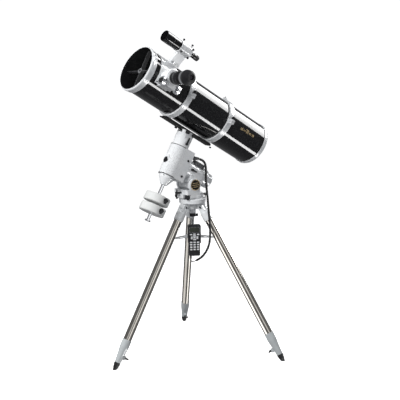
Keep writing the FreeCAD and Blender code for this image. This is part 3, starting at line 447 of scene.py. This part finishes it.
def block(name, matrix, low, high, edge, material, body, slot):
    """A box with rounded edges."""
    work = bmesh.new()
    bmesh.ops.create_cube(work, size=1)
    for vertex in work.verts:
        for axis in range(3):
            vertex.co[axis] = low[axis] if vertex.co[axis] < 0 else high[axis]
    bmesh.ops.bevel(work, geom=list(work.edges), offset=edge, segments=3, profile=0.5, affect="EDGES")
    work.transform(matrix)
    mesh = bpy.data.meshes.new(name)
    work.to_mesh(mesh)
    work.free()
    for face in mesh.polygons:
        face.use_smooth = True
    return finish_piece(mesh, name, material, body, 50)


# ------------------------------------------------------------------ camera and light

SENSOR_WIDTH = 36
FOCAL_LENGTH = 77.85
CAMERA_SHIFT = (0.01925, 0.0205)
CAMERA_DISTANCE = 4.704
AIM = Vector((0, 0, 0.8))
AZIMUTH = math.radians(-36.5)
ELEVATION = math.radians(10.3)
ROLL = math.radians(-0.7)


def add_camera():
    back = Vector((
        math.sin(AZIMUTH) * math.cos(ELEVATION),
        -math.cos(AZIMUTH) * math.cos(ELEVATION),
        math.sin(ELEVATION),
    ))
    level = Vector((math.cos(AZIMUTH), math.sin(AZIMUTH), 0))
    above = back.cross(level)
    right = level * math.cos(ROLL) + above * math.sin(ROLL)
    up = above * math.cos(ROLL) - level * math.sin(ROLL)
    data = bpy.data.cameras.new("camera")
    data.sensor_width = SENSOR_WIDTH
    data.lens = FOCAL_LENGTH
    data.shift_x, data.shift_y = CAMERA_SHIFT
    camera = bpy.data.objects.new("camera", data)
    matrix = Matrix((right, up, back)).transposed().to_4x4()
    matrix.translation = AIM + back * CAMERA_DISTANCE
    camera.matrix_world = matrix
    bpy.context.scene.collection.objects.link(camera)
    bpy.context.scene.camera = camera
    return back


def softbox(name, at, size, radiance, aim=AIM, glossy=True, diffuse=True, along_axis=POLE):
    """A rectangular area light; its second side lies along the given axis."""
    data = bpy.data.lights.new(name, "AREA")
    data.shape = "RECTANGLE"
    data.size, data.size_y = size
    data.energy = radiance * math.pi * size[0] * size[1]
    lamp = bpy.data.objects.new(name, data)
    outward = (Vector(at) - aim).normalized()
    long_side = (along_axis - outward * along_axis.dot(outward)).normalized()
    matrix = Matrix((long_side.cross(outward), long_side, outward)).transposed().to_4x4()
    matrix.translation = at
    lamp.matrix_world = matrix
    lamp.visible_camera = False
    lamp.visible_glossy = glossy
    lamp.visible_diffuse = diffuse
    bpy.context.scene.collection.objects.link(lamp)
    return lamp


def strip_lights(back, axis, middle, strips, length, receivers=None):
    """Long softboxes beside a round bar, whose reflections run down it as bright stripes."""
    slope = back.dot(axis)
    flat = (back - axis * slope).normalized()
    over = axis.cross(flat)
    around = math.sqrt(1 - slope**2)
    for name, turn, width, radiance, *tilt in strips:
        direction = flat * math.cos(math.radians(turn)) + over * math.sin(math.radians(turn))
        ray = direction * around - axis * slope
        size = (2 * LIGHT_DISTANCE * around * math.tan(math.radians(width / 2)), length)
        at = middle + ray * LIGHT_DISTANCE
        lamp = softbox(name, at, size, radiance, middle, diffuse=False, along_axis=axis)
        if tilt:
            lamp.matrix_world @= Matrix.Rotation(math.radians(tilt[0]), 4, "Z")
        if receivers is not None:
            lamp.light_linking.receiver_collection = receivers


def leg_strips(back):
    """Softboxes that only the bare steel sees, for the bright and dark bands down the legs."""
    for side, strips in LEG_STRIPS.items():
        steel = bpy.data.collections.new("bare_steel_" + side)
        steel.objects.link(NODES["leg_%s_tube" % side])
        if side == "north":
            steel.objects.link(NODES["counterweight_shaft"])
        leg = LEGS[side]
        rows = [("leg_%s_strip_%d" % (side, index), *row) for index, row in enumerate(strips)]
        strip_lights(back, leg.col[2].xyz.normalized(), leg @ Vector((0, 0, -0.42)), rows, 3.2, steel)


LIGHT_DISTANCE = 4.0
STRIP_LENGTH = 2.4
STRIPS = (("strip_low", -38, 12, 26.0, -25), ("strip_high", 94, 48, 15.0, -14))
LEG_STRIPS = {
    "west": ((-69, 50, 3.2), (26, 28, 1.1)),
    "north": ((-14, 30, 0.9), (34, 26, 1.9)),
    "east": ((-44, 56, 1.3), (57, 26, 3.0)),
}


def add_world():
    world = bpy.data.worlds.new("studio")
    bpy.context.scene.world = world
    world.use_nodes = True
    background = world.node_tree.nodes["Background"]
    background.inputs["Color"].default_value = (0.96, 0.97, 1.0, 1)
    background.inputs["Strength"].default_value = 0.26


def add_stage():
    """A pale round floor that curves up into a wall behind every view."""
    reach, cove, height = 10.0, 2.5, 8.0
    outline = [(0, 0), (reach * 0.5, 0), (reach, 0)]
    for step in range(1, 13):
        angle = math.radians(90 * step / 12)
        outline.append((reach + cove * math.sin(angle), cove * (1 - math.cos(angle))))
    outline.append((reach + cove, height))
    points, faces = lathe_points(outline, 96)
    mesh = mesh_from("stage", Matrix.Identity(4), points, faces[: (len(outline) - 1) * 96])
    stage = bpy.data.objects.new("stage", mesh)
    bpy.context.scene.collection.objects.link(stage)
    look = Look("stage_paint")
    look.blend(look.span(look.noise(1.5), 0, 1), (0.90, 0.90, 0.90), (0.93, 0.93, 0.93))
    look.rough(6.0, 0.7, 0.8)
    look.set(Emission_Color=(1, 1, 1, 1), Emission_Strength=0.75)
    mesh.materials.append(look.material)
    stage.visible_glossy = False
    stage.visible_diffuse = False
    stage.visible_shadow = False


bpy.context.scene.view_settings.view_transform = "Standard"
view_back = add_camera()
add_world()
add_stage()
strip_lights(view_back, POLE, OPTICS.translation, STRIPS, STRIP_LENGTH)
softbox("key", (-3.9, -0.9, 3.3), (2.6, 2.6), 10.0, glossy=False)
softbox("fill", (3.2, 0.5, 1.8), (1.8, 1.8), 3.0, glossy=False)
softbox("front", (2.2, -3.4, 1.6), (1.8, 1.8), 1.6, glossy=False)
softbox("top", (0.3, 0.6, 4.6), (3.0, 3.0), 1.8, glossy=False)
leg_strips(view_back)

# ------------------------------------------------------------------ cord of the handset

COIL_ROUTE = (
    (0.020, -0.034, 1.071),
    (0.042, -0.038, 1.065),
    (0.056, -0.046, 1.045),
    (0.055, -0.054, 1.019),
    (0.046, -0.062, 0.958),
    (0.038, -0.090, 0.854),
    (0.030, -0.106, 0.800),
    (0.026, -0.123, 0.724),
    (0.0245, -0.125, 0.650),
    (0.0165, -0.119, 0.600),
    (-0.003, -0.108, 0.562),
    (-0.024, -0.094, 0.539),
    (-0.042, -0.078, 0.527),
)
TAIL_ROUTE = (
    (-0.042, -0.078, 0.527), (-0.052, -0.068, 0.522), (-0.059, -0.060, 0.527), (-0.057, -0.0585, 0.541),
)
COIL_ACROSS = 0.0142
COIL_PITCH = 0.0060
CORD_ACROSS = 0.0054


def nurbs(name, route, thick=0.0):
    data = bpy.data.curves.new(name, "CURVE")
    data.dimensions = "3D"
    data.resolution_u = 24
    spline = data.splines.new("NURBS")
    spline.points.add(len(route) - 1)
    for point, place in zip(spline.points, route):
        point.co = (*place, 1)
    spline.order_u = 3
    spline.use_endpoint_u = True
    data.bevel_depth = thick / 2
    data.bevel_resolution = 6
    data.use_fill_caps = True
    return bpy.data.objects.new(name, data)


def line_of(route):
    """Points along the smooth line of a route."""
    guide = nurbs("guide", route)
    mesh = bpy.data.meshes.new_from_object(guide)
    points = [vertex.co.copy() for vertex in mesh.vertices]
    bpy.data.objects.remove(guide)
    bpy.data.meshes.remove(mesh)
    return points


def resampled(points, step):
    """Evenly spaced points on a polyline, and the distance of each from its start."""
    lengths = [0.0]
    for before, after in zip(points, points[1:]):
        lengths.append(lengths[-1] + (after - before).length)
    count = max(2, round(lengths[-1] / step))
    out = []
    segment = 0
    for index in range(count + 1):
        distance = lengths[-1] * index / count
        while segment < len(points) - 2 and lengths[segment + 1] < distance:
            segment += 1
        stretch = lengths[segment + 1] - lengths[segment]
        share = (distance - lengths[segment]) / stretch if stretch else 0
        out.append((points[segment].lerp(points[segment + 1], share), distance))
    return out


def helix(points, pitch, per_turn=14):
    """The centre line of a curly cord wound round a line, its ends run in to the line."""
    radius = (COIL_ACROSS - CORD_ACROSS) / 2
    samples = resampled(points, pitch / per_turn)
    total = samples[-1][1]
    side = Vector((0, 0, 1)).cross(samples[1][0] - samples[0][0]).normalized()
    out = []
    for index, (point, distance) in enumerate(samples):
        before = samples[max(index - 1, 0)][0]
        after = samples[min(index + 1, len(samples) - 1)][0]
        tangent = (after - before).normalized()
        side = (side - tangent * side.dot(tangent)).normalized()
        other = tangent.cross(side)
        angle = 2 * math.pi * index / per_turn
        ease = min(1.0, distance / (1.5 * pitch), (total - distance) / (1.5 * pitch))
        reach = radius * (ease if ease > 0 else 0.0)
        out.append(point + (side * math.cos(angle) + other * math.sin(angle)) * reach)
    return out


def sweep_mesh(name, line, thick, sides=8):
    """A round tube along a line of points, with its frame carried along."""
    points = []
    faces = []
    side = None
    for index, point in enumerate(line):
        before = line[max(index - 1, 0)]
        after = line[min(index + 1, len(line) - 1)]
        tangent = (after - before).normalized()
        if side is None:
            side = tangent.orthogonal().normalized()
        side = (side - tangent * side.dot(tangent)).normalized()
        other = tangent.cross(side)
        for step in range(sides):
            angle = 2 * math.pi * step / sides
            points.append(point + (side * math.cos(angle) + other * math.sin(angle)) * thick / 2)
    for index in range(len(line) - 1):
        for step in range(sides):
            after = (step + 1) % sides
            low = index * sides
            faces.append((low + step, low + after, low + sides + after, low + sides + step))
    faces.append(tuple(reversed(range(sides))))
    faces.append(tuple(range((len(line) - 1) * sides, len(line) * sides)))
    mesh = bpy.data.meshes.new(name)
    mesh.from_pydata([tuple(point) for point in points], [], faces)
    for face in mesh.polygons:
        face.use_smooth = True
    return mesh


def curly_cord():
    """The curly cord in two lengths, split where the coil passes 0.872 m high, and its plain tail."""
    line = line_of(COIL_ROUTE)
    winding = helix(line, COIL_PITCH)
    middle = min(range(len(winding)), key=lambda index: abs(winding[index].z - 0.872))
    spans = (
        (
            "cord_coil_upper", winding[: middle + 1], "polar_axis", "azimuth",
            (0.05, -0.055, 1.00), (0.045, -0.07, 0.93),
        ),
        (
            "cord_coil_lower", winding[middle:], "azimuth", "tripod",
            (0.04, -0.09, 0.86), (0.03, -0.106, 0.80),
        ),
    )
    for name, points, above, below, start, end in spans:
        mesh = sweep_mesh(name, points, CORD_ACROSS)
        piece = bpy.data.objects.new(name, mesh)
        bpy.context.scene.collection.objects.link(piece)
        piece.data.materials.append(RUBBER)
        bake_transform(piece)
    tail = nurbs("cord_tail_plain", TAIL_ROUTE, CORD_ACROSS)
    bpy.context.scene.collection.objects.link(tail)
    tail.data.materials.append(RUBBER)
    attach(tail, "tripod")
    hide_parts("cord_coil")
    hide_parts("cord_tail")
    tail_line = line_of(TAIL_ROUTE)


curly_cord()

# ------------------------------------------------------------------ handset


def handset():
    """The display in its frame, side grips and the screws on the back."""
    screen = (-0.0255, -0.0120, 0.0455), (0.0255, -0.0116, 0.0715)
    block("handset_screen", HANDSET, *screen, 0.00015, SCREEN, "tripod", "black_plastic")
    for index, (low, high) in enumerate((
        ((-0.0285, -0.0138, 0.0425), (0.0285, -0.0128, 0.0455)),
        ((-0.0285, -0.0138, 0.0715), (0.0285, -0.0128, 0.0745)),
        ((-0.0285, -0.0138, 0.0440), (-0.0255, -0.0128, 0.0730)),
        ((0.0255, -0.0138, 0.0440), (0.0285, -0.0128, 0.0730)),
    )):
        block("handset_frame_%d" % index, HANDSET, low, high, 0.0004, GREY, "tripod", "black_plastic")
    for side in (-1, 1):
        for rib in range(9):
            height = -0.070 + rib * 0.006
            near, far = sorted((side * 0.0290, side * 0.0303))
            block(
                "handset_grip_%s_%d" % ("left" if side < 0 else "right", rib), HANDSET,
                (near, -0.009, height), (far, 0.010, height + 0.003), 0.0005, RUBBER, "tripod", "rubber",
            )
    for side in (-1, 1):
        for height in (-0.072, 0.072):
            at = along(HANDSET, (side * 0.022, 0.0138, height), (0, 1, 0))
            name = "handset_screw_%s_%s" % ("left" if side < 0 else "right", "low" if height < 0 else "high")
            screw_head(name, at, 0.0028, CHROME, "tripod")


def thumb_screw(name, matrix, body, stem, radius=0.0055, length=0.009, material=None):
    """A knurled screw on a short stem, its stem starting at the frame's origin."""
    outline = [(0, 0), (0.0022, 0), (0.0022, stem), (0, stem)]
    lathe(name + "_stem", matrix, outline, CHROME, body, 16)
    head = matrix @ Matrix.Translation((0, 0, stem))
    knurled(name, head, radius, length, material or PLASTIC, body, 14)


def finder_details():
    """The finder's lenses, adjusting screws, grip ring and shoe clamp."""
    dome = [(0.0270, 0.1045), (0.022, 0.1068), (0.012, 0.1088), (0, 0.1094)]
    lathe("finder_lens", FINDER, dome, LENS, "declination")
    rim = [(0.0285, 0.0875), (0.0291, 0.0885), (0.0291, 0.0900), (0.0285, 0.0910)]
    lathe("finder_trim_ring", FINDER, rim, GREY, "declination", closed=True)
    hood = [(0.0271, 0.1055), (0.0271, 0.1405), (0.0266, 0.1405), (0.0266, 0.1055)]
    lathe("finder_hood_liner", FINDER, hood, FLAT_BLACK, "declination", closed=True)
    cup = [(0.0141, -0.0955), (0.0148, -0.0945), (0.0152, -0.082), (0.0146, -0.078), (0.0141, -0.078)]
    lathe("finder_eye_cup", FINDER, cup, RUBBER, "declination", closed=True)
    eye = [(0.0085, -0.0991), (0.0060, -0.0996), (0, -0.0999)]
    lathe("finder_eye_lens", FINDER, eye, LENS, "declination", 32)
    for height, angles in ((-0.026, (5, -45, -120, 120)), (0.030, (15, -105, 135))):
        for angle in angles:
            turn = math.radians(angle)
            out = (math.cos(turn), math.sin(turn), 0)
            at = along(FINDER, (0.0307 * out[0], 0.0307 * out[1], height), out)
            end = "rear" if height < 0 else "front"
            thumb_screw("finder_screw_%s_%d" % (end, angle % 360), at, "declination", 0.006)
    for height in (-0.0345, 0.036):
        edge = [
            (0.0309, height), (0.0317, height + 0.0006),
            (0.0317, height + 0.0019), (0.0309, height + 0.0025),
        ]
        lathe("finder_sleeve_lip_%s" % ("rear" if height < 0 else "front"), FINDER, edge, WHITE,
              "declination", closed=True)
    clamp = along(FINDER, (-0.0845, -0.0150, 0.018), (0, -1, 0))
    thumb_screw("finder_clamp_screw", clamp, "declination", 0.003, 0.0065, 0.011, CHROME)


def focuser_details():
    """Chrome adaptor, rubber grip and lenses of the eyepiece; locking screws, knob inlays, plate screws."""
    ring = [
        (0.0280, 0.2560), (0.0320, 0.2575), (0.0338, 0.2600),
        (0.0338, 0.2745), (0.0325, 0.2762), (0.0280, 0.2762),
    ]
    lathe("adaptor_ring", FOCUS, ring, CHROME, "drawtube", closed=True)
    grip = [(0.0378, 0.2838), (0.0388, 0.2848), (0.0388, 0.2930), (0.0378, 0.2940)]

    def ribs(size, height, index):
        return -0.0006 if size > 0.0385 and index % 4 in (0, 1) else 0

    lathe("eyepiece_grip", FOCUS, grip, RUBBER, "drawtube", 192, ribs, closed=True)
    cup = [
        (0.0150, 0.3215), (0.0235, 0.3215), (0.0240, 0.3190),
        (0.0238, 0.3220), (0.0190, 0.3238), (0.0150, 0.3238),
    ]
    lathe("eye_cup", FOCUS, cup, RUBBER, "drawtube", closed=True)
    eye = [(0.0118, 0.3162), (0.008, 0.3178), (0.004, 0.3185), (0, 0.3187)]
    lathe("eye_lens", FOCUS, eye, LENS, "drawtube", 48)
    band = [(0.0330, 0.2060), (0.0335, 0.2064), (0.0335, 0.2126), (0.0330, 0.2130)]
    lathe("drum_band", FOCUS, band, GREY, "drawtube", closed=True)
    for index, angle in enumerate((70, 190, 310)):
        turn = math.radians(angle)
        out = (math.cos(turn), math.sin(turn), 0)
        at = along(FOCUS, (0.0325 * out[0], 0.0325 * out[1], 0.228), out)
        thumb_screw("drum_screw_%d" % index, at, "drawtube", 0.002, 0.0042, 0.007, CHROME)
    for side in (-1, 1):
        at = along(FOCUS, (-0.040, side * 0.0588, 0.168), (0, side, 0))
        inlay = [(0, 0), (0.0145, 0), (0.0150, 0.0006), (0.0130, 0.0014), (0, 0.0016)]
        end = "rear" if side < 0 else "front"
        lathe("knob_inlay_" + end, at, inlay, RUBBER, "focus_knobs", 48)
        rim = [(0.0225, -0.0145), (0.0229, -0.0138), (0.0229, -0.0030), (0.0225, -0.0022)]

        def grooves(size, height, index):
            return -0.0005 if size > 0.0228 and index % 4 in (0, 1) else 0

        lathe("knob_rim_%s" % ("rear" if side < 0 else "front"), at, rim, ALUMINIUM, "focus_knobs",
              160, grooves, closed=True)
    for column in (-1, 1):
        for angle in (-19, 79):
            turn = math.radians(angle)
            out = (math.sin(turn), 0, math.cos(turn))
            at = along(FOCUS, (0.1213 * out[0], column * 0.045, 0.1213 * out[2]), out)
            name = "plate_screw_%s_%s" % ("front" if column > 0 else "rear", "low" if angle < 0 else "high")
            screw_head(name, at, 0.0035, FLAT_BLACK, "declination")


def tube_details():
    """The flat black inside, the small mirror's holder and screws, the rear screws and the gold mark."""
    liner = [(0.1157, -0.385), (0.1157, 0.424), (0.1150, 0.424), (0.1150, -0.385)]
    lathe("tube_liner", OPTICS, liner, FLAT_BLACK, "declination", 96, closed=True)
    lip = [
        (0.1152, 0.4235), (0.1176, 0.4262), (0.1176, 0.4380),
        (0.1190, 0.4392), (0.1172, 0.4392), (0.1150, 0.4300),
    ]
    lathe("front_ring_liner", OPTICS, lip, FLAT_BLACK, "declination", 96, closed=True)
    holder = [
        (0.0068, 0.388), (0.0075, 0.387), (0.0272, 0.3585),
        (0.0276, 0.348), (0.0268, 0.346), (0.0062, 0.346),
    ]
    lathe("mirror_holder", OPTICS, holder, FLAT_BLACK, "declination", closed=True)
    cap = [
        (0.0143, 0.4095), (0.0143, 0.4120), (0.0135, 0.4130),
        (0.0085, 0.4130), (0.0080, 0.4120), (0, 0.4120),
    ]
    lathe("spider_hub_cap", OPTICS, cap, ALUMINIUM, "declination")
    lathe("spider_hub_eye", OPTICS, [(0.0060, 0.4118), (0.0056, 0.4130), (0, 0.4134)], FLAT_BLACK,
          "declination", 32)
    for index in range(3):
        turn = math.radians(120 * index + 30)
        at = OPTICS @ Matrix.Translation((0.0108 * math.cos(turn), 0.0108 * math.sin(turn), 0.4128))
        screw_head("hub_screw_%d" % index, at, 0.0018, CHROME, "declination")
    for index in range(6):
        turn = math.radians(60 * index)
        at = along(OPTICS, (0.070 * math.cos(turn), 0.070 * math.sin(turn), -0.4468), (0, 0, -1))
        if index % 2 == 0:
            name = "collimation_knob_%d" % index
            knurled(name, at, 0.0085, 0.010, PLASTIC, "declination", 18)
    for end, height, count in (("front", 0.408, 4), ("rear", -0.434, 6)):
        for index in range(count):
            turn = math.radians(360 / count * index + 25)
            out = (math.cos(turn), math.sin(turn), 0)
            reach = 0.1217 if end == "front" else 0.1209
            at = along(OPTICS, (reach * out[0], reach * out[1], height), out)
            screw_head("%s_ring_screw_%d" % (end, index), at, 0.0030, CHROME, "declination")
    gold_mark()


def tube_patch(name, start, end, low, high, radius, material):
    """A thin raised patch on the tube between two angles and two heights."""
    points = []
    columns = 10
    for layer in (0.0, 0.00035):
        for column in range(columns + 1):
            angle = math.radians(start + (end - start) * column / columns)
            out = (math.sin(angle) * (radius + layer), -math.cos(angle) * (radius + layer))
            points.append((out[0], out[1], low))
            points.append((out[0], out[1], high))
    faces = []
    top = 2 * (columns + 1)
    for column in range(columns):
        near, far = 2 * column, 2 * column + 2
        faces.append((top + near, top + far, top + far + 1, top + near + 1))
        faces.append((near, near + 1, far + 1, far))
        faces.append((near, far, top + far, top + near))
        faces.append((near + 1, top + near + 1, top + far + 1, far + 1))
    last = 2 * columns
    faces.append((0, top, top + 1, 1))
    faces.append((last, last + 1, top + last + 1, top + last))
    finish_piece(mesh_from(name, OPTICS, points, faces), name, material, "declination")


def gold_mark():
    """A generic mark near the tube's rear: five stepped bars and a small one above them."""
    rows = (
        (-0.054, -0.037, -2.6, 4.4),
        (-0.032, -0.015, -2.2, 3.2),
        (-0.010, 0.008, -3.4, 3.4),
        (0.013, 0.030, -2.2, 2.4),
        (0.035, 0.052, -3.6, 3.0),
        (-0.012, 0.010, 4.6, 7.4),
    )
    for index, (low, high, start, end) in enumerate(rows):
        tube_patch("tube_mark_%d" % index, MARK_ANGLE + start, MARK_ANGLE + end, MARK_HEIGHT + low,
                   MARK_HEIGHT + high, 0.1174, BRONZE)


MARK_ANGLE = 3.0
MARK_HEIGHT = -0.290


def mount_details():
    """Seams, caps, screws and the badge of the equatorial head."""
    seams = ((0.0812, 0.0848, "right_ascension", "upper"), (-0.0868, -0.0838, "right_ascension", "lower"))
    for low, high, body, name in seams:
        at = along(POLAR, (low, 0, 0), (1, 0, 0))
        ring = [(0.0470, 0), (0.0502, 0), (0.0507, 0.0006), (0.0507, high - low - 0.0006),
                (0.0502, high - low),
                (0.0470, high - low)]
        lathe("dec_seam_" + name, at, ring, FLAT_BLACK, body, 96, closed=True)
    cap_at = along(POLAR, (-0.012, 0, 0.0497), (0, 0, 1))
    cap = [(0, -0.004), (0.0170, -0.004), (0.0170, 0.0020), (0.0150, 0.0034), (0.0060, 0.0042), (0, 0.0042)]
    lathe("polar_window_cap", cap_at, cap, PLASTIC, "right_ascension")
    dots = (
        ("dec_case_screw_0", (0.030, -0.0498, -0.052), (0, -1, 0), "right_ascension", 0.0062),
        ("dec_case_screw_1", (-0.060, -0.0498, -0.052), (0, -1, 0), "right_ascension", 0.0062),
        ("dec_case_screw_2", (0.030, 0.0498, -0.052), (0, 1, 0), "right_ascension", 0.0062),
        ("dec_case_screw_3", (-0.060, 0.0498, -0.052), (0, 1, 0), "right_ascension", 0.0062),
    )
    for name, at, axis, body, radius in dots:
        screw_head(name, along(POLAR, at, axis), radius, FLAT_BLACK, body)
    for index, angle in enumerate((-150, -90, -30, 90)):
        turn = math.radians(angle)
        out = (0, math.sin(turn), math.cos(turn))
        at = along(POLAR, (-0.094, 0.0400 * out[1], 0.0400 * out[2]), out)
        screw_head("collar_screw_%d" % index, at, 0.0026, FLAT_BLACK, "declination")
    badge()
    for side, angle in LEG_ANGLES.items():
        turn = Matrix.Rotation(math.radians(angle), 4, "Z")
        for way in (-1, 1):
            at = along(turn, (0.057, way * 0.0256, 0.812), (0, way, 0))
            # The flat black hexagons on the hinge bolts are painted shade, standing for the dark inside of
            # their hex sockets.
            socket = [(0, -0.001), (0.0046, -0.001), (0.0046, 0.0004), (0.0040, 0.0007), (0, 0.0007)]
            name = "hinge_bolt_socket_%s_%s" % (side, "left" if way < 0 else "right")
            lathe(name, at, socket, FLAT_BLACK, "tripod", 6)


def ring_details():
    """Raised edges round both tube rings and the cap nut of the camera stud."""
    for side, level in (("front", 0.1475), ("rear", -0.1475)):
        for edge, start in (("upper", 0.0118), ("lower", -0.0148)):
            points = [(0.1268, level + start), (0.1278, level + start + 0.0004),
                      (0.1278, level + start + 0.0026),
                      (0.1268, level + start + 0.0030)]
            half_band("ring_%s_%s_base_edge" % (side, edge), points, 90, 270, "declination")
            half_band("ring_%s_%s_top_edge" % (side, edge), points, -84, 84, "ring_top_" + side)
    cap = [(0.0036, 0), (0.0100, 0), (0.0108, 0.0010), (0.0108, 0.0048), (0.0092, 0.0060), (0.0036, 0.0060)]

    def flats(size, height, index):
        return -0.0016 if size > 0.0095 and index % 8 == 0 else 0

    at = along(OPTICS, (0.1312, 0, -0.1475), (1, 0, 0))
    lathe("stud_lock_nut", at, cap, PLASTIC, "ring_top_rear", 48, flats, closed=True)


def half_band(name, section, start, end, body):
    """A strip round part of the tube, its section in radius and height, its angles from the tube's top."""
    steps = 48
    count = len(section)
    points = []
    for step in range(steps + 1):
        angle = math.radians(start + (end - start) * step / steps)
        points += [
            (radius * math.cos(angle), radius * math.sin(angle), height)
            for radius, height in section
        ]
    faces = []
    for step in range(steps):
        for corner in range(count):
            after = (corner + 1) % count
            low = step * count
            faces.append((low + corner, low + count + corner, low + count + after, low + after))
    faces.append(tuple(range(count)))
    faces.append(tuple(reversed(range(steps * count, (steps + 1) * count))))
    finish_piece(mesh_from(name, OPTICS, points, faces), name, WHITE, body)


def weight_details():
    """Three-lobed grips on the weights' clamp screws and a knurled stop at the shaft's end."""
    for level, height in (("upper", -0.222), ("lower", -0.280)):
        at = along(POLAR, (height, -0.0780, 0), (0, -1, 0))

        def lobes(size, rise, index):
            wave = 0.5 + 0.5 * math.cos(3 * 2 * math.pi * index / 96)
            return wave * 0.0085 - 0.0025 if size > 0.007 else 0

        grip = [(0, 0), (0.0090, 0), (0.0098, 0.0012), (0.0098, 0.0072), (0.0086, 0.0086), (0, 0.0090)]
        lathe("weight_grip_" + level, at, grip, PLASTIC, "weight_screw_" + level, 96, lobes)
    end = along(POLAR, (-0.3402, 0, 0), (-1, 0, 0))
    knurled("shaft_end_stop", end, 0.0164, 0.0084, CHROME, "declination", 30)


def dovetail_details():
    """The safety stop under the dovetail, and its end screws."""
    at = along(OPTICS, (-0.1432, -0.008, 0.078), (-1, 0, 0))
    thumb_screw("dovetail_stop", at, "declination", 0.005, 0.0075, 0.010)
    for name, height in (("front", 0.186), ("rear", -0.186)):
        at = along(OPTICS, (-0.1432, 0, height), (-1, 0, 0))
        screw_head("dovetail_end_screw_" + name, at, 0.0060, FLAT_BLACK, "declination")


def badge():
    """A round badge with a bronze rim and three plain bars on each ear of the turntable."""
    for side in (-1, 1):
        at = frame_of(Vector((PIVOT.x, side * 0.0630, PIVOT.z)), Vector((1, 0, 0)), Vector((0, side, 0)))
        name = "badge_" + ("west" if side < 0 else "east")
        face = [(0, -0.001), (0.0265, -0.001), (0.0265, 0.0008), (0, 0.0008)]
        lathe(name + "_face", at, face, GLOSS_BLACK, "azimuth")
        rim = [
            (0.0262, -0.001), (0.0295, -0.001), (0.0295, 0.0016),
            (0.0285, 0.0024), (0.0270, 0.0024), (0.0262, 0.0014),
        ]
        lathe(name + "_rim", at, rim, BRONZE, "azimuth", closed=True)
        for index, (height, half) in enumerate(((0.010, 0.019), (0.0, 0.024), (-0.010, 0.019))):
            up = -side * height
            block("%s_bar_%d" % (name, index), at, (-half, up - 0.0022, 0.0004), (half, up + 0.0022, 0.0014),
                  0.0003, BRONZE, "azimuth", "chrome")


handset()
finder_details()
focuser_details()
tube_details()
mount_details()
ring_details()
dovetail_details()
weight_details()
